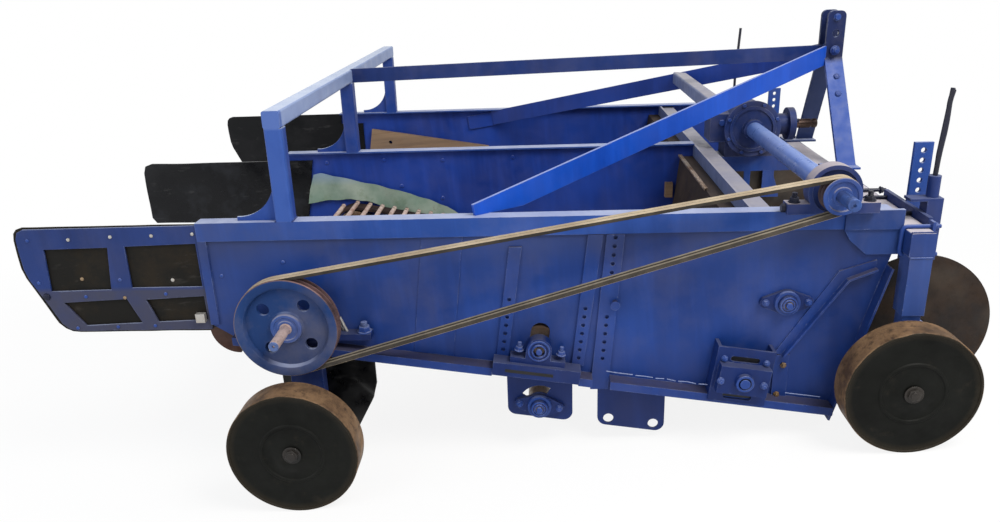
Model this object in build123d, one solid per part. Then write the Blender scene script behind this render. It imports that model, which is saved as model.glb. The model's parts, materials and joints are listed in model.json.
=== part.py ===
from build123d import *
import math
import os

# Two lane onion harvester that a tractor carries and drives. Two shares lift the crop, two
# rod webs carry it up and back, and it falls in two rows between the rear wings.
# All lengths are in mm. The machine is built with its top rails level: +X towards the
# tractor, +Y to its left side, +Z up, and zero at the rear end of the rails, midway
# across, on top of them. It is then tilted nose down, as it stands on its four wheels.

# Walls and rails
bed_half_width = 950.0
rail_length = 1985.0
rail_size = 50.0
rail_thickness = 6.0
wall_thickness = 6.0
wall_rear_depth = 315.0
wall_heel_x = 75.0
wall_heel_depth = 365.0
wall_front_depth = 625.0
wall_nose_setback = 117.0
wall_brow_reach = 18.0
wall_brow_depth = 110.0
flange_width = 48.0
flange_lip = 26.0
nose_flange_width = 40.0
nose_tip_drop = 20.0
stiffener_width = 24.0
stiffener_foot_setback = 269.0
stiffener_foot_depth = 440.0
stiffener_knee_setback = 105.0
stiffener_knee_depth = 200.0
stiffener_head_setback = 27.0
stiffener_head_depth = 168.0
foot_strip_width = 44.0
lane_end_setback = 379.0
centre_step_depth = 300.0
shaft_slot_width = 57.0
shaft_slot_height = 128.0
panel_x = 659.0
panel_width = 120.0
panel_thickness = 2.0
panel_top_depth = 50.0

# Stance
wheel_radius = 190.0
stance_angle = 3.945

# Stock and fits
plate_thin = 6.0
plate_medium = 8.0
plate_thick = 12.0
shaft_radius = 17.5
pin_clearance = 0.05
hole_clearance = 1.0
seat_gap = 0.3
cut_overrun = 12.0

# Rear portal
portal_x = 240.0
portal_tube = 50.0
tube_corner = 7.0
portal_height = 325.0
gusset_height = 110.0
gusset_reach = 118.0
gusset_tip = 12.0
gusset_dip_x_share = 0.32
gusset_dip_z_share = 0.36

# Toolbar, mast and lower hitch points
toolbar_gap = 30.0
toolbar_size = 70.0
toolbar_depth = 47.0
toolbar_overhang = 62.0
mast_gap = 56.0
mast_plate = 14.0
mast_width = 65.0
mast_setback = 48.0
mast_height = 485.0
mast_bend_height = 312.0
mast_foot_y = 245.0
mast_foot_width = 80.0
mast_foot_reach = 62.0
mast_lean = 14.0
mast_pin_radius = 12.75
mast_pin_heights = (462.0, 405.0)
mast_bolt_radius = 12.0
mast_bolt_height = 345.0
hitch_half_spacing = 342.0
hitch_cheek_gap = 60.0
hitch_reach = 128.0
hitch_drop = 147.0
hitch_shoulder = 20.0
hitch_bore_radius = 14.25
hitch_pin_setback = 34.0
bracket_thickness = 8.0
bracket_length = 160.0
bracket_shoulder_length = 140.0
bracket_foot_length = 92.0
bracket_shoulder_depth = 84.0
bracket_depth = 126.0

# Braces
brace_thickness = 10.0
side_brace_width = 68.0
brace_lap = 6.0
brace_mast_height = 328.0
right_brace_x = 815.0
left_brace_x = 775.0
left_brace_depth = 40.0
centre_brace_width = 52.0
centre_brace_height = 336.0
end_plate_length = 150.0
end_plate_height = 66.0
cross_tube_setback = 407.0
cross_tube_size = 50.0
cross_tube_height = 232.0

# Cross plate and gearbox support
cross_plate_depth = 215.0
cross_flange = 60.0
cross_flange_depth = 10.0
support_width = 110.0
support_depth = 58.0
support_top_depth = 42.0
support_wall = 6.0
support_rib_width = 24.0
support_rib_drop = 62.0

# Drive line
drive_setback = 177.0
drive_height = 70.0
gearbox_radius = 92.0
gearbox_length = 150.0
gearbox_flange_radius = 104.0
gearbox_ring_radius = 86.0
gearbox_flange_thickness = 14.0
gearbox_rear_length = 118.0
gearbox_rear_half_width = 55.0
gearbox_rear_half_height = 52.0
gearbox_nose_radius = 40.0
gearbox_nose_flange_radius = 62.0
gearbox_nose_reach = 172.0
pto_radius = 17.45
pto_root_radius = 14.0
pto_reach = 92.0
drive_tube_radius = 30.0
housing_radius = 73.0
housing_width = 46.0
housing_recess = 12.0
housing_base_length = 250.0
housing_base_height = 30.0
pulley_standoff = 68.0
pulley_width = 46.0
small_pulley_radius = 52.0
big_pulley_radius = 153.0
rear_shaft_x = 259.0
rear_shaft_depth = 292.0
drive_stub = 108.0
rear_stub = 140.0
pulley_hole_radius = 18.5
pulley_hole_pitch_radius = 86.0
pulley_hole_count = 4
pulley_hole_angle = 50.0
pulley_hub_radius = 45.0
pulley_rim = 30.0
pulley_web = 12.0
belt_spacing = 20.0
belt_top_width = 16.0
belt_bottom_width = 10.0
belt_height = 11.0
groove_clearance = 0.6

# Rod webs and rollers
web_drum_radius = 76.0
web_nose_setback = 396.0
web_nose_depth = 487.0
web_nose_radius = 44.0
web_idler_x = 993.0
web_idler_radius = 56.0
web_belt_width = 60.0
web_belt_thickness = 12.0
web_rod_radius = 5.5
web_rod_sides = 6
web_rod_count = 62
web_side_gap = 14.0
drum_clearance = 6.0
roller_end_gap = 6.0
front_roller_setback = 271.0
front_roller_depth = 268.0
front_roller_radius = 38.0
lower_roller_x = 991.0
lower_roller_depth = 602.0
lower_roller_radius = 34.0

# Bearings on the outer faces of the side walls
flange_bearing_radius = 38.0
flange_bearing_ear = 16.0
flange_bearing_spacing = 61.0
flange_bearing_base = 13.0
flange_bearing_boss_radius = 27.0
flange_bearing_height = 34.0
pillow_length = 165.0
pillow_width = 40.0
pillow_base = 18.0
pillow_centre_height = 46.0
pillow_radius = 38.0
shelf_thickness = 42.0
shelf_width = 54.0
rear_shelf_thickness = 20.0
mid_shelf_length = 262.0
rear_shelf_start_x = 95.0
rear_shelf_end_x = 493.0
slide_plate_length = 170.0
slide_plate_height = 178.0
slide_plate_offset = 2.0
slide_side_thickness = 10.0
slide_slot_length = 86.0
slide_slot_height = 17.0
slide_block_length = 148.0
slide_block_height = 88.0
slide_block_thickness = 32.0
slide_slot_rise = 56.0
slide_slot_drop = 66.0

# Adjusting bars and hanging plates
bar_table = (
    # top: rear edge, width, depth; foot: rear edge, width, depth
    (912.0, 37.0, 84.0, 863.0, 37.0, 435.0),
    (1139.0, 44.0, 51.0, 1090.0, 36.0, 468.0),
    (1192.0, 52.0, 51.0, 1147.0, 54.0, 548.0),
)
bar_hole_table = (
    # depth of the first and of the last hole, in the upper and in the lower row
    (247.0, 247.0, 303.0, 409.0),
    (279.0, 279.0, 306.0, 441.0),
    (60.0, 167.0, 307.0, 444.0),
)
adjuster_hole_radius = 6.0
adjuster_hole_pitch = 27.0
bar_boss_depth = 266.0
bar_boss_radius = 14.0
hanger_lap = 20.0
hanger_corner = 28.0
rear_hanger_x = 893.0
rear_hanger_length = 200.0
front_hanger_x = 1170.0
front_hanger_length = 206.0
hanger_drop = 150.0
hanger_hole_radius = 16.0
hanger_hole_inset = 34.0
hanger_hole_rise = 24.0
kidney_inner_radius = 40.0
kidney_outer_radius = 64.0
kidney_start_angle = 56.0
kidney_end_angle = 146.0

# Shares, pans and skirts
share_reach = 24.0
share_tip_drop = 27.0
share_length = 240.0
share_rise = 69.0
share_thickness = 12.0
share_bevel = 26.0
pan_radius = 85.0
pan_thickness = 5.0
pan_x = 75.0
pan_depth = 330.0
rubber_thickness = 8.0
skirt_rear_x = 191.0
skirt_front_x = 487.0
skirt_lap = 26.0
skirt_front_drop = 102.0
skirt_drop = 260.0
skirt_foot_x = 418.0

# Wheels and their legs
wheel_width = 86.0
wheel_rim = 9.0
wheel_disc = 9.0
wheel_disc_inset = 3.0
wheel_hub_radius = 42.0
axle_radius = 19.0
axle_tail = 12.0
front_wheel_reach = 25.0
front_wheel_depth = 490.0
front_wheel_standoff = 95.0
rear_wheel_x = 285.0
rear_wheel_depth = 611.0
rear_wheel_standoff = 254.0
front_leg_size = 62.0
front_leg_inner = 50.0
front_leg_sleeve = 175.0
rear_leg_width = 100.0
rear_leg_thickness = 40.0
leg_axle_margin = 34.0

# Cranks, clamps and coulters in front of the toolbar
clamp_top_rise = 25.0
clamp_height = 142.0
clamp_length = 305.0
clamp_inset = 5.0
crank_inset = 70.0
crank_offset = 20.0
crank_body_size = 44.0
crank_body_top = 12.0
crank_cap_thickness = 8.0
crank_cap_setback = 36.0
crank_tube_radius = 17.0
crank_tube_top = 82.0
crank_rod_radius = 6.0
crank_knee_height = 142.0
crank_rod_top = 325.0
crank_lean = 12.0
left_crank_setback = 55.0
left_crank_top = 363.0
shank_inset = 178.0
shank_width = 54.0
shank_thickness = 12.0
shank_top = 155.0
left_shank_top = 92.0
shank_foot = 76.0
shank_hole_radius = 8.0
shank_hole_pitch = 30.0
shank_hole_span = 120.0
coulter_reach = 55.0
coulter_depth = 412.0
coulter_radius = 230.0
coulter_thickness = 6.0
coulter_hub_radius = 34.0
coulter_hub_length = 44.0
coulter_pin_radius = 14.0
coulter_gap = 8.0

# Wings, sheet, curtains and boards
wing_length = 550.0
wing_depth = 328.0
wing_rim = 11.0
left_pad_extra = 32.0
wing_bar = 54.0
wing_overlap = 110.0
wing_middle_bar_share = 0.44
wing_waist_share = 0.64
wing_top_cut = 36.0
wing_shoulder_share = 0.43
wing_knee_share = 0.68
wing_knee_length_share = 0.95
wing_heel_length_share = 0.78
wing_rear_window_share = 0.155
wing_low_window_share = 0.215
wing_low_corner_share = 0.31
centre_wing_length = 600.0
centre_wing_top = 26.0
centre_wing_depth = 275.0
sheet_rear_x = 112.0
sheet_front_x = 680.0
sheet_thickness = 4.0
sheet_height = 110.0
curtain_gap = 50.0
curtain_top_depth = 47.0
curtain_height = 250.0
curtain_lean = 30.0
curtain_bar_size = 14.0
board_rear_x = 140.0
board_length = 600.0
board_height = 105.0
board_thickness = 22.0
board_hole_radius = 9.0
board_hole_x = 100.0
block_gap = 106.0
block_depth = 178.0
block_size = 58.0
block_thickness = 24.0

quarter_turn = 90.0
hole_round_share = 0.5
shank_first_share = 0.8
full_turn = 360.0
wall_nose_x = rail_length - wall_nose_setback
wall_brow_x = rail_length + wall_brow_reach
floor_angle = math.degrees(math.atan2(wall_front_depth - wall_heel_depth, wall_nose_x - wall_heel_x))
floor_slope = math.tan(math.radians(floor_angle))
lane_end_x = rail_length - lane_end_setback
toolbar_x = rail_length + toolbar_gap
toolbar_half_length = bed_half_width + toolbar_overhang
mast_x = toolbar_x + mast_setback
cross_tube_x = rail_length - cross_tube_setback
drive_x = rail_length - drive_setback
gearbox_nose_x = drive_x + gearbox_nose_reach
pulley_y = bed_half_width + pulley_standoff
web_nose_x = rail_length - web_nose_setback
front_roller_x = rail_length - front_roller_setback
share_tip_x = wall_nose_x + share_reach
share_tip_depth = wall_front_depth + share_tip_drop
share_heel_x = share_tip_x - share_length
share_heel_depth = share_tip_depth - share_rise
front_wheel_x = toolbar_x + front_wheel_reach
front_wheel_face_y = toolbar_half_length + front_wheel_standoff
rear_wheel_face_y = bed_half_width + rear_wheel_standoff
clamp_outer_y = bed_half_width - clamp_inset
clamp_inner_y = clamp_outer_y - clamp_length
crank_y = bed_half_width - crank_inset
shank_y = bed_half_width - shank_inset
curtain_x = lane_end_x - curtain_gap
block_x = lane_end_x - block_gap
wall_outer_y = bed_half_width - rail_thickness
wall_inner_y = wall_outer_y - wall_thickness
centre_face_y = wall_thickness / 2
toolbar_front = toolbar_x + toolbar_size
toolbar_top = -toolbar_depth
toolbar_bottom = toolbar_top - toolbar_size
lane_inner_y = centre_face_y + web_side_gap
lane_outer_y = wall_inner_y - web_side_gap
rear_shaft_z = -rear_shaft_depth
web_nose_z = -web_nose_depth
front_roller_z = -front_roller_depth
lower_roller_z = -lower_roller_depth
drive_z = drive_height

nodes = {}


def block(x0, x1, y0, y1, z0, z1):
    """A box between two corners."""
    size = Box(x1 - x0, y1 - y0, z1 - z0)
    return Pos((x0 + x1) / 2, (y0 + y1) / 2, (z0 + z1) / 2) * size


def side_face(points):
    """A flat face in X and Z from its corner points."""
    return make_face(Polyline(*points, close=True))


def side_solid(face, y_start, thickness):
    """A face drawn in X and Z, made solid from y_start towards +Y."""
    plane = Plane(origin=(0, y_start, 0), x_dir=(1, 0, 0), z_dir=(0, -1, 0))
    return extrude(plane * face, amount=-thickness)


def side_plate(points, y_start, thickness):
    """A flat plate with corner points in X and Z, from y_start towards +Y."""
    return side_solid(side_face(points), y_start, thickness)


def rod_y(x, z, radius, y0, y1):
    """A round bar along Y."""
    return Pos(x, (y0 + y1) / 2, z) * Rot(quarter_turn, 0, 0) * Cylinder(radius, abs(y1 - y0))


def rod_x(y, z, radius, x0, x1):
    """A round bar along X."""
    return Pos((x0 + x1) / 2, y, z) * Rot(0, quarter_turn, 0) * Cylinder(radius, abs(x1 - x0))


def rod_z(x, y, radius, z0, z1):
    """A round bar along Z."""
    return Pos(x, y, (z0 + z1) / 2) * Cylinder(radius, abs(z1 - z0))


def tube_y(x, z, radius, bore, y0, y1):
    """A round tube along Y."""
    return rod_y(x, z, radius, y0, y1) - rod_y(x, z, bore, y0 - cut_overrun, y1 + cut_overrun)


def bar_between(start, end, width, thickness, across):
    """A flat bar between two points, its width as near to the across direction as it can be."""
    a = Vector(*start)
    b = Vector(*end)
    along = (b - a).normalized()
    side = Vector(*across)
    side = (side - along * side.dot(along)).normalized()
    plane = Plane(origin=a, x_dir=side, z_dir=along)
    return extrude(plane * Rectangle(width, thickness), amount=(b - a).length)


def square_bar(centre, direction, x_dir, size, length):
    """A square tube drawn as a bar with rounded corners, its middle at the centre."""
    plane = Plane(origin=centre, x_dir=x_dir, z_dir=direction)
    return extrude(plane * RectangleRounded(size, size, tube_corner), amount=length / 2, both=True)


def rod_between(start, end, radius):
    """A round bar between two points."""
    a = Vector(*start)
    b = Vector(*end)
    return extrude(Plane(origin=a, z_dir=b - a) * Circle(radius), amount=(b - a).length)


def mirrored(shape):
    """The same piece on the left side of the machine."""
    return mirror(shape, about=Plane.XZ)


def fused(pieces):
    """One shape of many pieces that touch or overlap."""
    return pieces[0].fuse(*pieces[1:]) if len(pieces) > 1 else pieces[0]


def both_sides(pieces):
    """One node of right hand pieces and their left hand mirror images."""
    return Compound(list(pieces) + [mirrored(piece) for piece in pieces])


def floor_z(x):
    """Height of the lower edge of the walls."""
    return -wall_heel_depth - (x - wall_heel_x) * floor_slope


def hole_depths(first, last):
    """Evenly spaced depths from the first to the last."""
    steps = int((last - first) / adjuster_hole_pitch + hole_round_share)
    return [first + (last - first) * index / max(steps, 1) for index in range(steps + 1)]


def on_floor(x, z, shape):
    """Puts a shape drawn about zero at x, z, turned to the slope of the bed."""
    return Pos(x, 0, z) * Rot(0, floor_angle, 0) * shape


def hull_of_circles(circles):
    """The tight outline round circles given as x, z, radius."""
    edges = []
    for x, z, radius in circles:
        edges.append(Pos(x, z) * Edge.make_circle(radius))
    return make_hull(edges)


def web_normal():
    """Unit vector in X and Z square to the upper run of a rod web."""
    run = Vector(web_nose_x - rear_shaft_x, web_nose_z - rear_shaft_z)
    tilt = math.asin((web_drum_radius - web_nose_radius) / run.length)
    angle = math.atan2(run.Y, run.X) + math.radians(quarter_turn) - tilt
    return Vector(math.cos(angle), math.sin(angle))


def below_web(x, distance):
    """Height at x of a line that lies a distance under the inner side of the upper run."""
    normal = web_normal()
    reach = web_drum_radius - distance
    return rear_shaft_z + (reach - normal.X * (x - rear_shaft_x)) / normal.Y


web_idler_z = below_web(web_idler_x, web_idler_radius + seat_gap)


def build_walls():
    outline = [
        (0, 0), (rail_length, 0), (wall_brow_x, -wall_brow_depth),
        (wall_nose_x, -wall_front_depth), (wall_heel_x, -wall_heel_depth), (0, -wall_rear_depth),
    ]
    bores = [
        (rear_shaft_x, rear_shaft_z, shaft_radius + hole_clearance),
        (web_nose_x, web_nose_z, shaft_radius + hole_clearance),
        (front_roller_x, front_roller_z, shaft_radius + hole_clearance),
    ]
    wall = side_plate(outline, -wall_outer_y, wall_thickness)
    for x, z, radius in bores:
        wall = wall - rod_y(x, z, radius, -wall_outer_y - cut_overrun, -wall_inner_y + cut_overrun)
    slot = Rot(quarter_turn, 0, 0) * extrude(
        SlotOverall(shaft_slot_height, shaft_slot_width, rotation=quarter_turn),
        amount=bed_half_width, both=True)
    slot = on_floor(web_idler_x, web_idler_z + shaft_slot_height / 2 - shaft_slot_width, slot)
    heel_top = -wall_heel_depth + flange_lip
    nose_top = -wall_front_depth + flange_lip
    leg = side_plate([
        (wall_heel_x, heel_top), (wall_nose_x, nose_top),
        (wall_nose_x, nose_top - rail_thickness), (wall_heel_x, heel_top - rail_thickness),
    ], -wall_outer_y - flange_width, flange_width)
    lip = side_plate([
        (wall_heel_x, heel_top), (wall_nose_x, nose_top), (wall_nose_x, -wall_front_depth),
        (wall_heel_x, -wall_heel_depth),
    ], -wall_outer_y - flange_width, rail_thickness)
    nose_flange = bar_between(
        (wall_nose_x - rail_thickness, -wall_outer_y - nose_flange_width / 2,
            -wall_front_depth - nose_tip_drop),
        (wall_brow_x - 2 * rail_thickness, -wall_outer_y - nose_flange_width / 2,
            -wall_brow_depth - rail_size),
        nose_flange_width, rail_thickness, (0, 1, 0))
    foot = (rail_length - stiffener_foot_setback, -stiffener_foot_depth)
    knee = (rail_length - stiffener_knee_setback, -stiffener_knee_depth)
    head = (rail_length - stiffener_head_setback, -stiffener_head_depth)
    stand_y = -wall_outer_y - stiffener_width / 2
    stiffener = [
        side_plate([foot, knee, head, (head[0], head[1] + stiffener_width),
                    (knee[0] - stiffener_width, knee[1] + stiffener_width),
                    (foot[0] - stiffener_width, foot[1] + plate_thin)],
                   -wall_outer_y - rail_thickness, rail_thickness),
        bar_between((foot[0], stand_y, foot[1]), (knee[0], stand_y, knee[1]), stiffener_width,
            rail_thickness, (0, 1, 0)),
        bar_between((knee[0], stand_y, knee[1]), (head[0], stand_y, head[1]), stiffener_width,
            rail_thickness, (0, 1, 0)),
        side_plate([
            (foot[0] - foot_strip_width / 2, foot[1]), (foot[0] + foot_strip_width / 2, foot[1]),
            (foot[0] + foot_strip_width / 2, floor_z(foot[0]) + flange_lip / 2),
            (foot[0] - foot_strip_width / 2, floor_z(foot[0]) + flange_lip / 2),
        ], -wall_outer_y - rail_thickness, rail_thickness),
    ]
    rear_angle = block(0, flange_lip, -wall_outer_y - rail_thickness, -wall_outer_y, -wall_rear_depth,
            -rail_size)
    wall = fused([wall, leg, lip, nose_flange, rear_angle] + stiffener) - slot
    nodes["side_wall_right"] = wall
    nodes["side_wall_left"] = mirrored(wall)
    middle = side_plate([
        (0, 0), (lane_end_x, 0), (lane_end_x, -centre_step_depth),
        (wall_nose_x - nose_flange_width, -wall_front_depth + nose_flange_width),
        (wall_nose_x, -wall_front_depth), (wall_heel_x, -wall_heel_depth), (0, -wall_rear_depth),
    ], -centre_face_y, wall_thickness)
    for x, z, radius in bores:
        middle = middle - rod_y(x, z, radius, -cut_overrun, cut_overrun)
    nodes["centre_wall"] = middle - slot
    rail = block(0, rail_length, -bed_half_width, -wall_outer_y, -rail_size, 0)
    cap = block(0, rail_length, -bed_half_width, -bed_half_width + rail_size, 0, rail_thickness)
    side_rail = rail + cap
    centre_rail = block(0, lane_end_x, -rail_size / 2, rail_size / 2, 0, rail_thickness)
    nodes["top_rails"] = Compound([side_rail, centre_rail, mirrored(side_rail)])
    front = panel_x + panel_width
    lean = floor_slope * (wall_heel_depth - panel_top_depth)
    panel = side_plate([
        (panel_x, -panel_top_depth), (front, -panel_top_depth),
        (front - lean, floor_z(front) + flange_lip + plate_medium),
        (panel_x - lean, floor_z(panel_x) + flange_lip + plate_medium),
    ], -wall_outer_y - panel_thickness, panel_thickness)
    nodes["wall_panels"] = both_sides([panel])


def build_portal():
    base = rail_thickness
    top = portal_height
    middle_x = portal_x + portal_tube / 2
    beam = square_bar((middle_x, 0, top - portal_tube / 2), (0, 1, 0), (1, 0, 0), portal_tube,
            2 * bed_half_width)
    pieces = [beam]
    for y in (-bed_half_width + portal_tube / 2, 0, bed_half_width - portal_tube / 2):
        pieces.append(square_bar((middle_x, y, (base + top - portal_tube) / 2), (0, 0, 1), (1, 0, 0),
                portal_tube,
                                 top - portal_tube - base))
        arc = ThreePointArc(
            (portal_x, base + gusset_height),
            (portal_x - gusset_reach * gusset_dip_x_share, base + gusset_height * gusset_dip_z_share),
            (portal_x - gusset_reach, base + gusset_tip))
        edge = Polyline((portal_x - gusset_reach, base + gusset_tip), (portal_x - gusset_reach, base),
                        (portal_x + tube_corner, base), (portal_x + tube_corner, base + gusset_height),
                        (portal_x, base + gusset_height))
        pieces.append(side_solid(make_face(arc + edge), y - plate_medium / 2, plate_medium))
    nodes["rear_portal"] = fused(pieces)


def build_toolbar():
    nodes["toolbar"] = square_bar((toolbar_x + toolbar_size / 2, 0, toolbar_top - toolbar_size / 2),
            (0, 1, 0),
                                  (1, 0, 0), toolbar_size, 2 * toolbar_half_length)
    bracket = side_plate([
        (toolbar_x, -rail_size - seat_gap), (toolbar_x, -bracket_depth),
        (toolbar_x - bracket_foot_length, -bracket_depth),
        (toolbar_x - bracket_shoulder_length, -bracket_shoulder_depth),
        (toolbar_x - bracket_length, -rail_size - seat_gap),
    ], -wall_outer_y - bracket_thickness, bracket_thickness)
    top_strap = block(toolbar_x - bracket_length, toolbar_x, -bed_half_width - bracket_thickness,
            -bed_half_width,
                      -rail_size - seat_gap, rail_thickness)
    rib = block(rail_length, toolbar_x, -bed_half_width, -wall_outer_y, -rail_size - seat_gap,
            rail_thickness)
    bracket = fused([bracket, top_strap, rib]) - nodes["side_wall_right"]
    nodes["front_brackets"] = both_sides([bracket])


def build_mast():
    pieces = []
    middle_x = mast_x + mast_width / 2
    for side in (-1, 1):
        centre = side * (mast_gap + mast_plate) / 2
        pieces.append(Pos(middle_x, centre, (mast_bend_height + mast_height) / 2) * Box(
            mast_width, mast_plate, mast_height - mast_bend_height))
        foot_top = toolbar_top + plate_thick
        pieces.append(bar_between(
            (middle_x, centre, mast_bend_height + mast_plate / 2),
            (middle_x + mast_lean, side * mast_foot_y, foot_top - plate_thin),
            mast_width, mast_plate, (1, 0, 0)))
        pieces.append(block(
            toolbar_x + plate_thick, toolbar_front + mast_foot_reach,
            side * mast_foot_y - mast_foot_width / 2,
            side * mast_foot_y + mast_foot_width / 2, toolbar_top, foot_top))
    bolt_end = mast_gap / 2 + mast_plate + brace_thickness + plate_medium
    pieces.append(rod_y(middle_x, mast_bolt_height, mast_bolt_radius, -bolt_end, bolt_end))
    mast = fused(pieces)
    mast = mast - block(toolbar_x, toolbar_front + mast_foot_reach * 2, -bed_half_width, bed_half_width,
                        toolbar_bottom, toolbar_top)
    for height in mast_pin_heights:
        mast = mast - rod_y(middle_x, height, mast_pin_radius, -mast_gap * 2, mast_gap * 2)
    nodes["hitch_mast"] = mast
    points = [
        (toolbar_front, toolbar_top), (toolbar_front + hitch_reach, toolbar_bottom - hitch_shoulder),
        (toolbar_front + hitch_reach, toolbar_top - hitch_drop),
        (toolbar_front + hitch_reach / 2, toolbar_top - hitch_drop),
        (toolbar_front, toolbar_bottom - hitch_shoulder / 2),
    ]
    pin_x = toolbar_front + hitch_reach - hitch_pin_setback
    pin_z = toolbar_top - hitch_drop + hitch_pin_setback
    hitch = []
    bore = rod_y(pin_x, pin_z, hitch_bore_radius, -bed_half_width, 0)
    for cheek in (-1, 1):
        y = -hitch_half_spacing + cheek * (hitch_cheek_gap + plate_thick) / 2
        hitch.append(side_plate(points, y - plate_thick / 2, plate_thick) - bore)
    nodes["lower_hitch"] = both_sides(hitch)


def build_braces():
    mast = nodes["hitch_mast"]
    portal = nodes["rear_portal"]
    rails = nodes["top_rails"]
    end_x = mast_x + brace_lap
    end_y = (mast_gap + mast_plate) / 2
    centre = bar_between(
        (portal_x + portal_tube - tube_corner, 0, portal_height - portal_tube / 2),
        (end_x + mast_width / 2, 0, centre_brace_height), centre_brace_width, brace_thickness, (0, 0, 1))
    spacer = rod_y(mast_x + mast_width / 2, mast_bolt_height, mast_bolt_radius * 2, -mast_gap / 2,
            mast_gap / 2)
    nodes["centre_brace"] = centre + spacer - portal - mast
    right = bar_between(
        (right_brace_x, -bed_half_width + rail_size / 2, rail_thickness), (end_x, -end_y, brace_mast_height),
        side_brace_width, brace_thickness, (0, 0, 1))
    below = block(0, rail_length, -bed_half_width * 2, 0, -bed_half_width, rail_thickness)
    nodes["side_brace_right"] = right - below - mast
    left = bar_between(
        (left_brace_x, wall_inner_y - brace_thickness, -left_brace_depth), (end_x, end_y, brace_mast_height),
        side_brace_width, brace_thickness, (0, 0, 1))
    end_plate = Pos(left_brace_x - end_plate_length / 3, wall_inner_y - brace_thickness / 2,
                    -left_brace_depth - plate_thick) * Rot(0, -floor_angle, 0) * Box(
        end_plate_length, brace_thickness, end_plate_height)
    left = left + end_plate - rails - nodes["side_wall_left"] - mast
    nodes["side_brace_left"] = left
    tube = square_bar((cross_tube_x + cross_tube_size / 2, 0, cross_tube_height - cross_tube_size / 2),
            (0, 1, 0),
                      (1, 0, 0), cross_tube_size, wall_inner_y)
    outside_right = brace_side_cut(right_brace_x, -1)
    outside_left = brace_side_cut(left_brace_x, 1)
    nodes["cross_tube"] = (tube - outside_right - outside_left).solids()[0]


def brace_side_cut(start_x, side):
    """All that lies on the outer side of a side brace."""
    start_y = bed_half_width - rail_size / 2 if side < 0 else wall_inner_y - brace_thickness
    a = Vector(start_x, side * start_y)
    b = Vector(mast_x + brace_lap, side * (mast_gap + mast_plate) / 2)
    along = (b - a).normalized()
    outward = Vector(-along.Y, along.X) if side > 0 else Vector(along.Y, -along.X)
    a = a - outward * (brace_thickness / 2)
    b = b - outward * (brace_thickness / 2)
    far = outward * bed_half_width
    corners = [a - along * bed_half_width, b + along * bed_half_width,
               b + along * bed_half_width + far, a - along * bed_half_width + far]
    face = make_face(Polyline(*[(point.X, point.Y) for point in corners], close=True))
    return extrude(face, amount=bed_half_width, both=True)


def build_cross_members():
    plate = block(lane_end_x, lane_end_x + plate_medium, -wall_inner_y, wall_inner_y, -cross_plate_depth, 0)
    flange = block(lane_end_x + plate_medium, lane_end_x + plate_medium + cross_flange, -wall_inner_y,
            wall_inner_y,
                   -cross_flange_depth - plate_thin, -cross_flange_depth)
    nodes["cross_plate"] = plate + flange
    top = -support_top_depth
    channel = block(lane_end_x + plate_medium, toolbar_x, -support_width / 2, support_width / 2,
                    top - support_depth, top)
    hollow = block(lane_end_x, toolbar_front, -support_width / 2 + support_wall,
            support_width / 2 - support_wall,
                   top - support_depth - cut_overrun, top - support_wall)
    rib = block(drive_x - support_rib_width / 2, drive_x + support_rib_width / 2, -support_width / 2,
                -support_width / 2 + support_wall, top - support_depth - support_rib_drop,
                top - support_wall)
    nodes["gearbox_support"] = channel - hollow + rib


def groove_cuts(x, z, radius):
    """Two V grooves round a pulley, a little wider than the belts."""
    cuts = []
    for offset in (-belt_spacing / 2, belt_spacing / 2):
        centre = -pulley_y + offset
        depth = belt_height + groove_clearance
        wide = belt_top_width / 2 + groove_clearance
        narrow = belt_bottom_width / 2 + groove_clearance
        slope = (wide - narrow) / depth
        points = [
            (radius + cut_overrun, centre - wide - slope * cut_overrun),
            (radius + cut_overrun, centre + wide + slope * cut_overrun),
            (radius - depth, centre + narrow), (radius - depth, centre - narrow),
        ]
        ring = revolve(make_face(Polyline(*points, close=True)), axis=Axis.Y)
        cuts.append(Pos(x, 0, z) * ring)
    return fused(cuts)


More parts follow.
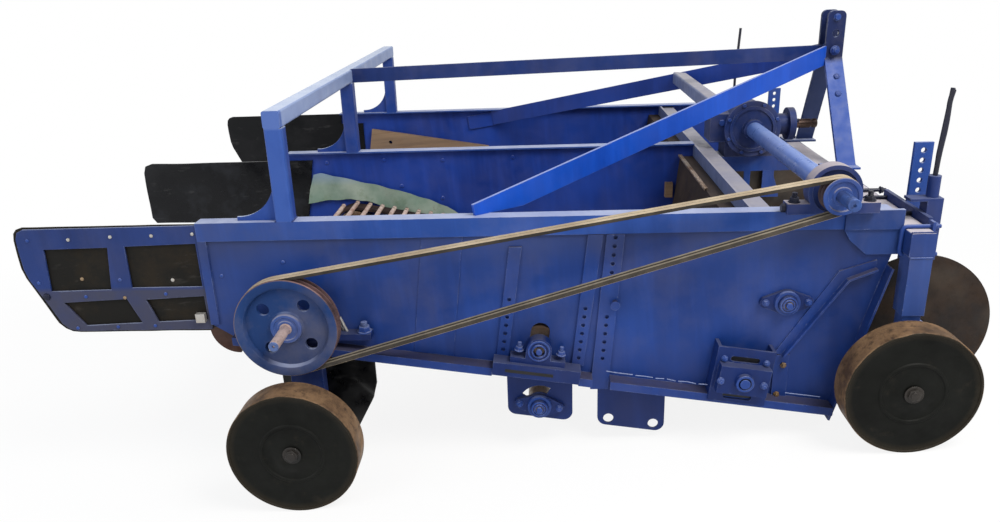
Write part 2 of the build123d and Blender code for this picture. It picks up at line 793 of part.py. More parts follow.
def build_drive():
    body = rod_y(drive_x, drive_z, gearbox_radius, -gearbox_length / 2, gearbox_length / 2)
    flange = rod_y(drive_x, drive_z, gearbox_flange_radius, -gearbox_length / 2 - gearbox_flange_thickness,
                   -gearbox_length / 2)
    rear = block(drive_x - gearbox_radius - gearbox_rear_length / 2, drive_x, -gearbox_rear_half_width,
                 gearbox_rear_half_width, drive_z - gearbox_rear_half_height,
                 drive_z + gearbox_rear_half_height)
    foot = block(drive_x - gearbox_radius, drive_x + gearbox_radius, -support_width / 2, support_width / 2,
                 -support_top_depth, drive_z - gearbox_radius / 2)
    nose = rod_x(0, drive_z, gearbox_nose_radius, drive_x, gearbox_nose_x)
    ring = rod_x(0, drive_z, gearbox_nose_flange_radius, gearbox_nose_x - 2 * plate_thick, gearbox_nose_x)
    boss = rod_y(drive_x, drive_z, drive_tube_radius + plate_medium,
            -gearbox_length / 2 - 3 * gearbox_flange_thickness,
                 -gearbox_length / 2)
    raised = tube_y(drive_x, drive_z, gearbox_ring_radius, gearbox_ring_radius - plate_thick,
                    -gearbox_length / 2 - gearbox_flange_thickness - plate_thin, -gearbox_length / 2)
    gearbox = fused([body, flange, rear, foot, nose, ring, boss, raised])
    gearbox = gearbox - rod_x(0, drive_z, pto_root_radius + pin_clearance,
            gearbox_nose_x - gearbox_nose_radius,
                              gearbox_nose_x + cut_overrun)
    bore_end = -gearbox_length / 2 - gearbox_flange_thickness
    gearbox = gearbox - rod_y(drive_x, drive_z, drive_tube_radius, bore_end - bed_half_width, bore_end)
    nodes["gearbox"] = gearbox
    stub_start = gearbox_nose_x + seat_gap
    stub = rod_x(0, drive_z, pto_radius, stub_start, stub_start + pto_reach)
    root = rod_x(0, drive_z, pto_root_radius, gearbox_nose_x - gearbox_nose_radius + seat_gap, stub_start)
    nodes["pto_shaft"] = stub + root
    housing_end = -wall_inner_y + seat_gap
    tube = tube_y(drive_x, drive_z, drive_tube_radius, drive_tube_radius - plate_thin, housing_end, bore_end)
    nodes["drive_tube"] = tube
    housing_y = -wall_inner_y - housing_width
    housing = rod_y(drive_x, drive_z, housing_radius, housing_y, housing_end)
    base = block(drive_x - housing_base_length / 2, drive_x + housing_base_length / 2, housing_y,
            housing_end,
                 rail_thickness, rail_thickness + housing_base_height)
    housing = fused([housing, base])
    housing = housing - block(0, rail_length + bed_half_width, -2 * bed_half_width, 0, -bed_half_width,
            rail_thickness)
    housing = housing - rod_y(drive_x, drive_z, shaft_radius + pin_clearance, -2 * bed_half_width, 0)
    housing = housing - tube_y(drive_x, drive_z, housing_radius - housing_recess, 2 * shaft_radius,
                               housing_y - cut_overrun, housing_y + housing_recess)
    nodes["drive_housing"] = housing
    edge = pulley_width / 2
    small = rod_y(drive_x, drive_z, small_pulley_radius, -pulley_y - edge, -pulley_y + edge)
    small = small - groove_cuts(drive_x, drive_z, small_pulley_radius)
    shaft = rod_y(drive_x, drive_z, shaft_radius, -pulley_y - drive_stub, -wall_inner_y + housing_width)
    nodes["drive_pulley"] = small + shaft
    big = rod_y(rear_shaft_x, rear_shaft_z, big_pulley_radius, -pulley_y - edge, -pulley_y + edge)
    inside = big_pulley_radius - pulley_rim
    hub_and_web = tube_y(rear_shaft_x, rear_shaft_z, inside, pulley_hub_radius,
            -pulley_y - edge - cut_overrun,
                         -pulley_y - pulley_web / 2)
    back = tube_y(rear_shaft_x, rear_shaft_z, inside, pulley_hub_radius, -pulley_y + pulley_web / 2,
                  -pulley_y + edge + cut_overrun)
    big = big - hub_and_web - back - groove_cuts(rear_shaft_x, rear_shaft_z, big_pulley_radius)
    for index in range(pulley_hole_count):
        angle = math.radians(pulley_hole_angle + index * full_turn / pulley_hole_count)
        x = rear_shaft_x + pulley_hole_pitch_radius * math.cos(angle)
        z = rear_shaft_z + pulley_hole_pitch_radius * math.sin(angle)
        big = big - rod_y(x, z, pulley_hole_radius, -pulley_y - edge, -pulley_y + edge)
    pieces = [big, rod_y(rear_shaft_x, rear_shaft_z, shaft_radius, -pulley_y - rear_stub,
                         wall_outer_y + pillow_width + axle_tail)]
    drum_radius = web_drum_radius - drum_clearance
    for side in (-1, 1):
        for y in (lane_inner_y, lane_outer_y - web_belt_width):
            pieces.append(rod_y(rear_shaft_x, rear_shaft_z, drum_radius, side * y,
                    side * (y + web_belt_width)))
    nodes["rear_drive_shaft"] = fused(pieces)


def build_belts():
    def loop(grow):
        return hull_of_circles([
            (rear_shaft_x, rear_shaft_z, big_pulley_radius + grow),
            (drive_x, drive_z, small_pulley_radius + grow)])
    ring = loop(0) - loop(-belt_height)
    belts = []
    for offset in (-belt_spacing / 2, belt_spacing / 2):
        belts.append(side_solid(ring, -pulley_y + offset - belt_bottom_width / 2, belt_bottom_width))
    nodes["v_belts"] = Compound(belts)


def build_webs():
    def loop(grow):
        return hull_of_circles([
            (rear_shaft_x, rear_shaft_z, web_drum_radius + grow),
            (web_nose_x, web_nose_z, web_nose_radius + grow)])
    ring = loop(web_belt_thickness) - loop(0)
    path = loop(web_belt_thickness / 2).face().outer_wire()
    pieces = []
    for y in (lane_inner_y, lane_outer_y - web_belt_width):
        pieces.append(side_solid(ring, y, web_belt_width))
    for index in range(web_rod_count):
        spot = path.position_at(index / web_rod_count)
        section = Pos(spot.X, spot.Y) * RegularPolygon(web_rod_radius, web_rod_sides)
        pieces.append(side_solid(section, lane_inner_y + plate_thick,
                lane_outer_y - lane_inner_y - 2 * plate_thick))
    web = fused(pieces)
    nodes["rod_web_left"] = web
    nodes["rod_web_right"] = mirrored(web)


def build_rollers():
    table = (
        (web_nose_x, web_nose_z, web_nose_radius - seat_gap),
        (web_idler_x, web_idler_z, web_idler_radius),
        (front_roller_x, front_roller_z, front_roller_radius),
        (lower_roller_x, lower_roller_z, lower_roller_radius),
    )
    rollers = []
    for x, z, radius in table:
        pieces = [rod_y(x, z, shaft_radius, -wall_outer_y - flange_bearing_height,
                wall_outer_y + flange_bearing_height)]
        for side in (-1, 1):
            start = centre_face_y + roller_end_gap
            end = wall_inner_y - roller_end_gap
            pieces.append(tube_y(x, z, radius, shaft_radius, side * start, side * end))
        rollers.append(fused(pieces))
    nodes["web_rollers"] = Compound(rollers)


def flange_bearing(x, z, face_y, turned):
    """A two bolt flange bearing on a wall face that looks to the right."""
    spread = flange_bearing_spacing
    outline = hull_of_circles([
        (0, 0, flange_bearing_radius), (-spread, 0, flange_bearing_ear), (spread, 0, flange_bearing_ear)])
    base = side_solid(outline, -flange_bearing_base, flange_bearing_base)
    boss = rod_y(0, 0, flange_bearing_boss_radius, -flange_bearing_height, 0)
    unit = Pos(x, face_y, z) * Rot(0, turned, 0) * (base + boss)
    return unit - rod_y(x, z, shaft_radius + pin_clearance, face_y - pulley_y, face_y + pulley_y)


def pillow_block(x, z, back_y, turned):
    """A foot mounted bearing, its back against a wall that looks to the right."""
    foot = -pillow_centre_height
    base = block(-pillow_length / 2, pillow_length / 2, -pillow_width, 0, foot, foot + pillow_base)
    body = rod_y(0, 0, pillow_radius, -pillow_width, 0)
    cheek = block(-pillow_radius, pillow_radius, -pillow_width, 0, foot, 0)
    unit = Pos(x, back_y, z) * Rot(0, turned, 0) * fused([base, body, cheek])
    return unit - rod_y(x, z, shaft_radius + pin_clearance, back_y - pulley_y, back_y + pulley_y)


def build_bearings():
    face = -wall_outer_y
    bars_face = face - plate_medium
    wall = nodes["side_wall_right"]
    units = [flange_bearing(front_roller_x, front_roller_z, face, 0)]
    shelf_top = -pillow_centre_height
    shelf_y = bars_face - shelf_width / 2
    shelf = Pos(0, shelf_y, shelf_top - shelf_thickness / 2) * Box(mid_shelf_length, shelf_width,
            shelf_thickness)
    middle = pillow_block(web_idler_x, web_idler_z, bars_face, floor_angle)
    units.append(fused([middle, on_floor(web_idler_x, web_idler_z, shelf)]))
    notch_height = shelf_thickness + plate_thick
    notch = Pos(0, face - shelf_width, shelf_top - notch_height / 2) * Box(mid_shelf_length,
            2 * shelf_width, notch_height)
    notch = on_floor(web_idler_x, web_idler_z, notch)
    plate_back = face - flange_width
    plate = Pos(0, plate_back - plate_thin / 2, slide_plate_offset) * Box(slide_plate_length, plate_thin,
            slide_plate_height)
    for offset in (slide_slot_rise, -slide_slot_drop):
        slot = Rot(quarter_turn, 0, 0) * extrude(SlotOverall(slide_slot_length, slide_slot_height),
                                                amount=bed_half_width * 2, both=True)
        plate = plate - Pos(0, 0, offset) * slot
    pieces = [plate]
    for side in (-1, 1):
        strip_x = side * (slide_plate_length - slide_side_thickness) / 2
        pieces.append(Pos(strip_x, (face + plate_back) / 2, slide_plate_offset) * Box(
            slide_side_thickness, flange_width, slide_plate_height))
    block_front = plate_back - plate_thin - slide_block_thickness
    pieces.append(Pos(0, (face + block_front) / 2, 0) * Box(slide_block_length, face - block_front,
            slide_block_height))
    pieces.append(rod_y(0, 0, flange_bearing_boss_radius, block_front - plate_thick, block_front))
    slide = on_floor(web_nose_x, web_nose_z, fused(pieces))
    slide = slide - rod_y(web_nose_x, web_nose_z, shaft_radius + pin_clearance, -2 * bed_half_width, 0)
    slide = slide - wall
    units.append(slide.solids().sort_by(SortBy.VOLUME)[-1])
    rear_shelf_top = rear_shaft_z - pillow_centre_height
    rear_shelf = block(rear_shelf_start_x, rear_shelf_end_x, face - pillow_width, face,
                       rear_shelf_top - rear_shelf_thickness, rear_shelf_top)
    rear_unit = fused([pillow_block(rear_shaft_x, rear_shaft_z, face, 0), rear_shelf]) - wall
    units.append(rear_unit.solids().sort_by(SortBy.VOLUME)[-1])
    units.append(flange_bearing(lower_roller_x, lower_roller_z, face, floor_angle))
    nodes["bearing_units"] = both_sides(units)
    nodes["side_wall_right"] = wall - notch
    nodes["side_wall_left"] = mirrored(nodes["side_wall_right"])


def build_side_bars():
    face = -wall_outer_y
    bars = []
    for top_x, top_width, top_depth, foot_x, foot_width, foot_depth in bar_table:
        bars.append(side_plate([
            (top_x, -top_depth), (top_x + top_width, -top_depth),
            (foot_x + foot_width, -foot_depth), (foot_x, -foot_depth),
        ], face - plate_medium, plate_medium))
    for index, (upper_first, upper_last, lower_first, lower_last) in enumerate(bar_hole_table):
        top_x, top_width, top_depth, foot_x, foot_width, foot_depth = bar_table[index]
        for depth in hole_depths(upper_first, upper_last) + hole_depths(lower_first, lower_last):
            along = (depth - top_depth) / (foot_depth - top_depth)
            middle = top_x + top_width / 2 + along * (foot_x + foot_width / 2 - top_x - top_width / 2)
            bars[index] = bars[index] - rod_y(middle, -depth, adjuster_hole_radius, 2 * face, 0)
    last_x, last_width = bar_table[-1][:2]
    bars[-1] = bars[-1] + rod_y(last_x + last_width / 2, -bar_boss_depth, bar_boss_radius,
            face - 2 * plate_thick, face)
    top_x, top_width, top_depth, foot_x, foot_width, foot_depth = bar_table[-1]
    notch = side_plate([
        (foot_x, -foot_depth), (foot_x + foot_width, -foot_depth),
        (top_x + top_width, -top_depth), (top_x, -top_depth),
    ], face - flange_width - plate_thick, flange_width + plate_thick)
    nodes["side_wall_right"] = nodes["side_wall_right"] - notch
    nodes["side_wall_left"] = mirrored(nodes["side_wall_right"])
    nodes["adjuster_bars"] = both_sides(bars)
    walls = nodes["side_wall_right"]
    plates = []
    for x, length in ((rear_hanger_x, rear_hanger_length), (front_hanger_x, front_hanger_length)):
        circles = []
        for corner_x in (x + hanger_corner, x + length - hanger_corner):
            circles.append((corner_x, floor_z(corner_x) - hanger_drop + hanger_corner, hanger_corner))
            circles.append((corner_x, floor_z(corner_x) + hanger_lap - hanger_corner, hanger_corner))
        plates.append(side_solid(hull_of_circles(circles), face, plate_thin))
    rear_plate = plates[0] - rod_y(lower_roller_x, lower_roller_z, shaft_radius + hole_clearance, 2 * face,
            0)
    ring = Circle(kidney_outer_radius) - Circle(kidney_inner_radius)
    far = 4 * kidney_outer_radius
    sweep = []
    for angle in (kidney_start_angle, (kidney_start_angle + kidney_end_angle) / 2, kidney_end_angle):
        sweep.append((far * math.cos(math.radians(angle)), far * math.sin(math.radians(angle))))
    kidney = Pos(lower_roller_x, lower_roller_z) * (ring & side_face([(0, 0)] + sweep))
    rear_plate = rear_plate - side_solid(kidney, face - plate_thick, 2 * plate_thick)
    front_plate = plates[1]
    for x in (front_hanger_x + hanger_hole_inset, front_hanger_x + front_hanger_length - hanger_hole_inset):
        z = floor_z(x) - hanger_drop + hanger_hole_rise
        front_plate = front_plate - rod_y(x, z, hanger_hole_radius, 2 * face, 0)
    nodes["hanger_plates"] = both_sides([rear_plate - walls, front_plate - walls])


def build_lane_ends():
    points = [
        (share_tip_x, -share_tip_depth), (share_tip_x - share_bevel, -share_tip_depth + share_thickness),
        (share_heel_x, -share_heel_depth), (share_heel_x, -share_heel_depth - share_thickness),
    ]
    nodes["share_blades"] = both_sides([side_plate(points, -wall_inner_y, wall_inner_y - centre_face_y)])
    centre_z = -pan_depth
    outer = Pos(pan_x, centre_z) * Circle(pan_radius)
    inner = Pos(pan_x, centre_z) * Circle(pan_radius - pan_thickness)
    quarter = side_face([(pan_x, centre_z), (pan_x - 2 * pan_radius, centre_z),
                         (pan_x - 2 * pan_radius, centre_z - 2 * pan_radius),
                         (pan_x, centre_z - 2 * pan_radius)])
    pan = side_solid((outer - inner) & quarter, -wall_inner_y, wall_inner_y - centre_face_y)
    cheek = side_solid(outer & quarter, -wall_inner_y, pan_thickness)
    nodes["rear_pans"] = both_sides([pan + cheek])
    skirt = side_plate([
        (skirt_rear_x, floor_z(skirt_rear_x) + skirt_lap),
        (skirt_front_x, floor_z(skirt_front_x) + skirt_lap),
        (skirt_front_x, floor_z(skirt_front_x) - skirt_front_drop),
        (skirt_foot_x, floor_z(skirt_front_x) - skirt_drop),
        (skirt_rear_x, floor_z(skirt_front_x) - skirt_drop),
    ], -wall_inner_y, rubber_thickness)
    nodes["side_skirts"] = both_sides([skirt])


def build_wheels():
    table = (
        ("front", front_wheel_x, -front_wheel_depth, front_wheel_face_y),
        ("rear", rear_wheel_x, -rear_wheel_depth, rear_wheel_face_y),
    )
    for name, x, z, face in table:
        rim = tube_y(x, z, wheel_radius, wheel_radius - wheel_rim, -face, -face + wheel_width)
        disc = rod_y(x, z, wheel_radius - wheel_rim / 2, -face + wheel_disc_inset,
                -face + wheel_disc_inset + wheel_disc)
        hub = rod_y(x, z, wheel_hub_radius, -face + wheel_disc_inset, -face + wheel_width - plate_medium)
        wheel = fused([rim, disc, hub])
        wheel = wheel - rod_y(x, z, axle_radius + pin_clearance, -2 * face, 0)
        nodes["wheel_%s_right" % name] = wheel
        nodes["wheel_%s_left" % name] = mirrored(wheel)
    leg_y = -toolbar_half_length
    leg_x = toolbar_x + (toolbar_size - front_leg_size) / 2
    wall = (front_leg_size - front_leg_inner) / 2
    sleeve = block(leg_x, leg_x + front_leg_size, leg_y, leg_y + front_leg_size,
                   toolbar_bottom - front_leg_sleeve, toolbar_bottom)
    inner = block(leg_x + wall, leg_x + wall + front_leg_inner, leg_y + wall,
                  leg_y + wall + front_leg_inner, -front_wheel_depth - leg_axle_margin,
                  toolbar_bottom - front_leg_sleeve)
    axle = rod_y(front_wheel_x, -front_wheel_depth, axle_radius, -front_wheel_face_y - axle_tail,
            leg_y + wall * 2)
    cap = rod_y(front_wheel_x, -front_wheel_depth, axle_radius + plate_thick,
            -front_wheel_face_y - axle_tail,
                -front_wheel_face_y - seat_gap)
    leg = fused([sleeve, inner, axle, cap])
    nodes["wheel_leg_front_right"] = leg
    nodes["wheel_leg_front_left"] = mirrored(leg)
    top = rear_shaft_z - pillow_centre_height - rear_shelf_thickness
    leg = block(rear_wheel_x - rear_leg_width / 2, rear_wheel_x + rear_leg_width / 2,
                -wall_outer_y - rear_leg_thickness, -wall_outer_y, -rear_wheel_depth - leg_axle_margin, top)
    axle = rod_y(rear_wheel_x, -rear_wheel_depth, axle_radius, -rear_wheel_face_y - axle_tail,
                 -wall_outer_y - rear_leg_thickness / 2)
    cap = rod_y(rear_wheel_x, -rear_wheel_depth, axle_radius + plate_thick, -rear_wheel_face_y - axle_tail,
                -rear_wheel_face_y - seat_gap)
    leg = fused([leg, axle, cap]) - nodes["side_wall_right"]
    leg = leg.solids().sort_by(SortBy.VOLUME)[-1]
    nodes["wheel_leg_rear_right"] = leg
    nodes["wheel_leg_rear_left"] = mirrored(leg)


def crank_rod(x, y, base, knee, top):
    """A bent crank rod that leans forward above its knee."""
    lower = rod_z(x, y, crank_rod_radius, base, knee)
    joint = Pos(x, y, knee) * Sphere(crank_rod_radius)
    upper = rod_between((x, y, knee), (x + crank_lean, y, top), crank_rod_radius)
    return fused([lower, joint, upper])


def build_front_fittings():
    plate_top = toolbar_top + clamp_top_rise
    plate_bottom = plate_top - clamp_height
    front = toolbar_front + plate_thick
    plate = block(toolbar_front, front, -clamp_outer_y, -clamp_inner_y, plate_bottom, plate_top)
    half = crank_body_size / 2
    clearance = crank_rod_radius + pin_clearance
    crank_x = front + crank_offset
    body = block(front, front + crank_body_size, -crank_y - half, -crank_y + half, plate_bottom,
            crank_body_top)
    cap = block(toolbar_front - crank_cap_setback, front + crank_body_size, -crank_y - half, -crank_y + half,
                crank_body_top, crank_body_top + crank_cap_thickness)
    tube_base = crank_body_top + crank_cap_thickness
    tube = rod_z(crank_x, -crank_y, crank_tube_radius, tube_base, crank_tube_top)
    tube = tube - rod_z(crank_x, -crank_y, clearance, tube_base, crank_tube_top + cut_overrun)
    right = fused([plate, body, cap, tube])
    left_x = toolbar_x - left_crank_setback
    left_body = block(left_x - half, toolbar_x, crank_y - half, crank_y + half, toolbar_bottom, toolbar_top)
    left_tube = rod_z(left_x, crank_y, crank_tube_radius, toolbar_top, crank_tube_top)
    left_tube = left_tube - rod_z(left_x, crank_y, clearance, toolbar_top, crank_tube_top + cut_overrun)
    nodes["toolbar_clamps"] = Compound([right, mirrored(plate), left_body + left_tube])
    nodes["cranks"] = Compound([
        crank_rod(crank_x, -crank_y, tube_base, crank_knee_height, crank_rod_top),
        crank_rod(left_x, crank_y, toolbar_top, crank_knee_height, left_crank_top)])
    coulter_x = front + coulter_reach
    inner = -shank_y - shank_thickness / 2
    disc_y = inner - coulter_gap
    pin_end = disc_y - coulter_hub_length - axle_tail
    pin = rod_y(coulter_x, -coulter_depth, coulter_pin_radius, pin_end, inner + shank_thickness / 2)
    pin_head = rod_y(coulter_x, -coulter_depth, coulter_pin_radius * 2, pin_end,
            disc_y - coulter_hub_length - seat_gap)
    collar = rod_y(coulter_x, -coulter_depth, coulter_pin_radius * 2, disc_y + seat_gap, inner)
    shanks = []
    for top in (shank_top, left_shank_top):
        shank = side_plate([
            (front, top), (front + shank_width, top), (front + shank_width, -coulter_depth + shank_foot),
            (coulter_x + shank_width / 2, -coulter_depth),
            (coulter_x + shank_width / 2, -coulter_depth - shank_width / 2),
            (front, -coulter_depth - shank_width / 2),
        ], inner, shank_thickness)
        for index in range(int(shank_hole_span / shank_hole_pitch + hole_round_share) + 1):
            z = top - shank_hole_pitch * (index + shank_first_share)
            shank = shank - rod_y(front + shank_width / 2, z, shank_hole_radius, -2 * shank_y, 0)
        shanks.append(fused([shank, pin, pin_head, collar]))
    nodes["coulter_shanks"] = Compound([shanks[0], mirrored(shanks[1])])
    hub = rod_y(coulter_x, -coulter_depth, coulter_hub_radius, disc_y - coulter_hub_length, disc_y)
    middle = disc_y - coulter_hub_length / 2
    disc = rod_y(coulter_x, -coulter_depth, coulter_radius, middle - coulter_thickness / 2,
            middle + coulter_thickness / 2)
    disc = disc + hub - rod_y(coulter_x, -coulter_depth, coulter_pin_radius + pin_clearance, -2 * shank_y, 0)
    nodes["coulter_disc_right"] = disc
    nodes["coulter_disc_left"] = mirrored(disc)


def wing_outline(length, depth, front, rise):
    """The outline of a rear wing that reaches back from the wall."""
    return [
        (front, rise), (-length + wing_top_cut, rise), (-length, rise - wing_top_cut),
        (-length, -depth * wing_shoulder_share),
        (-length * wing_knee_length_share, -depth * wing_knee_share),
        (-length * wing_heel_length_share, -depth), (front, -depth),
    ]


def build_wings():
    length = wing_length
    depth = wing_depth
    frame = side_face(wing_outline(length, depth, 0, 0))
    waist = -depth * wing_waist_share
    middle = -length * wing_middle_bar_share
    bar = wing_bar
    rear = -length + length * wing_rear_window_share
    low_rear = -length + length * wing_low_window_share
    low_corner = -length + length * wing_low_corner_share
    windows = [
        [(rear, -bar), (middle - bar / 2, -bar), (middle - bar / 2, waist + bar / 2),
            (rear, waist + bar / 2)],
        [(middle + bar / 2, -bar), (-bar, -bar), (-bar, waist + bar / 2),
            (middle + bar / 2, waist + bar / 2)],
        [(low_rear, waist - bar / 4), (middle - bar / 2, waist - bar / 4),
            (middle - bar / 2, -depth + bar / 2),
         (low_corner, -depth + bar / 2)],
        [(middle + bar / 2, waist - bar / 4), (-bar, waist - bar / 4), (-bar, -depth + bar / 2),
         (middle + bar / 2, -depth + bar / 2)],
    ]
    for window in windows:
        frame = frame - side_face(window)
    nodes["wing_frames"] = both_sides([side_solid(frame, -wall_outer_y, wall_thickness)])
    pads = []
    for extra in (0, left_pad_extra):
        skin = side_face(wing_outline(length + wing_rim + extra, depth + wing_rim, 0, 0)) + side_face([
            (0, -rail_size), (wing_overlap, -rail_size), (wing_overlap, -depth + 2 * bar),
            (0, -depth + 2 * bar)])
        pads.append(side_solid(skin, -wall_inner_y, rubber_thickness) - nodes["rear_pans"])
    centre = side_plate([
        (wing_overlap - plate_thick, -centre_wing_top),
        (-centre_wing_length + wing_top_cut, -centre_wing_top),
        (-centre_wing_length, -centre_wing_top - wing_top_cut), (-centre_wing_length, -centre_wing_depth),
        (wing_overlap - bar, -centre_wing_depth),
    ], -centre_face_y - rubber_thickness, rubber_thickness)
    nodes["wing_rubbers"] = Compound([pads[0], centre, mirrored(pads[1])])


def build_soft_parts():
    def web_top(x):
        return below_web(x, -web_belt_thickness - seat_gap)
    middle_x = (sheet_rear_x + sheet_front_x) / 2
    sheet = side_plate([
        (sheet_rear_x, web_top(rear_shaft_x)), (middle_x, web_top(middle_x)),
        (sheet_front_x, web_top(sheet_front_x)),
        (middle_x, web_top(middle_x) + sheet_height), (sheet_rear_x, web_top(rear_shaft_x) + sheet_height),
    ], -centre_face_y - sheet_thickness, sheet_thickness)
    nodes["lane_sheet"] = sheet
    top = -curtain_top_depth
    curtain = side_plate([
        (curtain_x, top), (curtain_x + rubber_thickness, top),
        (curtain_x + rubber_thickness - curtain_lean, top - curtain_height),
        (curtain_x - curtain_lean, top - curtain_height),
    ], -wall_inner_y, wall_inner_y - centre_face_y)
    strip = block(curtain_x + rubber_thickness, lane_end_x, -wall_inner_y, -centre_face_y,
            top - curtain_bar_size, top)
    nodes["lane_curtains"] = both_sides([curtain + strip])
    board = Pos(board_length / 2, 0, board_height / 2) * Box(board_length, board_thickness, board_height)
    board = board - rod_y(board_hole_x, board_height / 2, board_hole_radius, -board_thickness,
            board_thickness)
    run = math.degrees(math.atan2(below_web(board_rear_x, 0) - below_web(board_rear_x + board_length, 0),
            board_length))
    nodes["wood_board"] = Pos(board_rear_x, wall_inner_y - board_thickness / 2 - rubber_thickness - seat_gap,
                              web_top(board_rear_x)) * Rot(0, run, 0) * board
    nodes["wood_block"] = block(block_x, block_x + block_size / 2, -centre_face_y - block_thickness,
            -centre_face_y,
                                -block_depth - block_size / 2, -block_depth + block_size / 2)


def build_all():
    build_walls()
    build_portal()
    build_toolbar()
    build_mast()
    build_braces()
    build_cross_members()
    build_drive()
    build_belts()
    build_webs()
    build_rollers()
    build_bearings()
    build_side_bars()
    build_lane_ends()
    build_wheels()
    build_front_fittings()
    build_wings()
    build_soft_parts()


build_all()
tilted = {name: Rot(0, stance_angle, 0) * shape for name, shape in nodes.items()}
boxes = [shape.bounding_box() for shape in tilted.values()]
middle_x = (min(box.min.X for box in boxes) + max(box.max.X for box in boxes)) / 2
lowest = min(box.min.Z for box in boxes)
os.makedirs("parts", exist_ok=True)
for name, shape in tilted.items():
    export_step(Pos(-middle_x, 0, -lowest) * shape, "parts/%s.step" % name)
print(len(nodes), "nodes, moved by", -middle_x, -lowest)
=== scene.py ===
import json
import math
import random

import bmesh
import bpy
from mathutils import Matrix, Vector


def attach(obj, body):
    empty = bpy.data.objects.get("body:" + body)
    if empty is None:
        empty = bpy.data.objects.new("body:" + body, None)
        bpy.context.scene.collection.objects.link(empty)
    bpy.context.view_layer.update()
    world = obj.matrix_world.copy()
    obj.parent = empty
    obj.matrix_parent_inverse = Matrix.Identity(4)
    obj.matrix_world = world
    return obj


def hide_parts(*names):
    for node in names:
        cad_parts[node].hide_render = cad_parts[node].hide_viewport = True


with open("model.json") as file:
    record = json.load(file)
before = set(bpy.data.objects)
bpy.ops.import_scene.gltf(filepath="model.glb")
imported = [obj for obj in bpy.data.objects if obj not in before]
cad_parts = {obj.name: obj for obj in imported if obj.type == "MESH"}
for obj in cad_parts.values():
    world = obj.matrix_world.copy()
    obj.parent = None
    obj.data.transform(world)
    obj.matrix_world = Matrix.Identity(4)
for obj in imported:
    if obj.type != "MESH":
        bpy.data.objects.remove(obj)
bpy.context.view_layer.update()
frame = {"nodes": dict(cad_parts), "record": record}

random.seed(7)

# The level frame: millimetres with the rails level, +X towards the tractor, +Z up, and zero at
# the rear end of the rails, midway across. The machine stands nose down by the stance angle.
MM = 0.001
STANCE = math.radians(3.945)
PTO_LEVEL = Vector((2026.3, 0.0, 70.0))
pto_mount = next(m for m in frame["record"]["mounts"] if m["name"] == "pto")
TILT = Matrix.Rotation(STANCE, 4, "Y")
ORIGIN = Vector(pto_mount["pos_m"]) - TILT @ (PTO_LEVEL * MM)
LEVEL = Matrix.Translation(ORIGIN) @ TILT @ Matrix.Scale(MM, 4)
OUT = (0, -1, 0)

# Driving sizes, in the level frame
WALL_FACE = 944.0
RAIL_TOP = 6.0
FLOOR_HEEL = (75.0, -365.0)
FLOOR_SLOPE = 260.0 / 1793.0
DRIVE = (1808.0, 70.0)
REAR_SHAFT = (259.0, -292.0)
WEB_NOSE = (1589.0, -487.0)
WEB_IDLER = (993.0, -397.6)
FRONT_ROLLER = (1714.0, -268.0)
LOWER_ROLLER = (991.0, -602.0)
PULLEY_Y = -1018.0
BIG_PULLEY, SMALL_PULLEY = 153.0, 52.0
HALF_BELT_PITCH = 10
SHAFT_RADIUS = 17.5
LANE_INNER, LANE_OUTER = 17.0, 924.0
WEB_BELT_WIDTH, WEB_RODS = 60, 62
FRONT_WHEEL, FRONT_WHEEL_FACE = (2040.0, -490.0), -1107.0
REAR_WHEEL, REAR_WHEEL_FACE = (285.0, -611.0), -1204.0
TOOLBAR_X, TOOLBAR_BOTTOM = 2015.0, -117.0
MAST_X, MAST_FOOT_Y = 2095.5, 245
EAR_FACE, FLANGE_EDGE, CRANK_Y = -957, -991, -880


def floor_z(x):
    """Height of the lower edge of the walls."""
    return FLOOR_HEEL[1] - (x - FLOOR_HEEL[0]) * FLOOR_SLOPE


def on_floor(x, z):
    """The matrix that puts a shape drawn about zero at x, z, turned to the slope of the bed."""
    return Matrix.Translation((x, 0, z)) @ Matrix.Rotation(math.atan(FLOOR_SLOPE), 4, "Y")


def facing(centre, axis):
    """The matrix that puts a shape drawn up Z at a centre, turned to an axis."""
    turn = Vector((0, 0, 1)).rotation_difference(Vector(axis).normalized())
    return Matrix.Translation(centre) @ turn.to_matrix().to_4x4()


def placed(name, data):
    """A new object in the scene."""
    made = bpy.data.objects.new(name, data)
    bpy.context.scene.collection.objects.link(made)
    return made


def ring_of(mesh, count, place, spin=0.0):
    """A ring of corners, each put where place(cosine, sine) says."""
    angles = [2 * math.pi * step / count + spin for step in range(count)]
    return [mesh.verts.new(place(math.cos(angle), math.sin(angle))) for angle in angles]


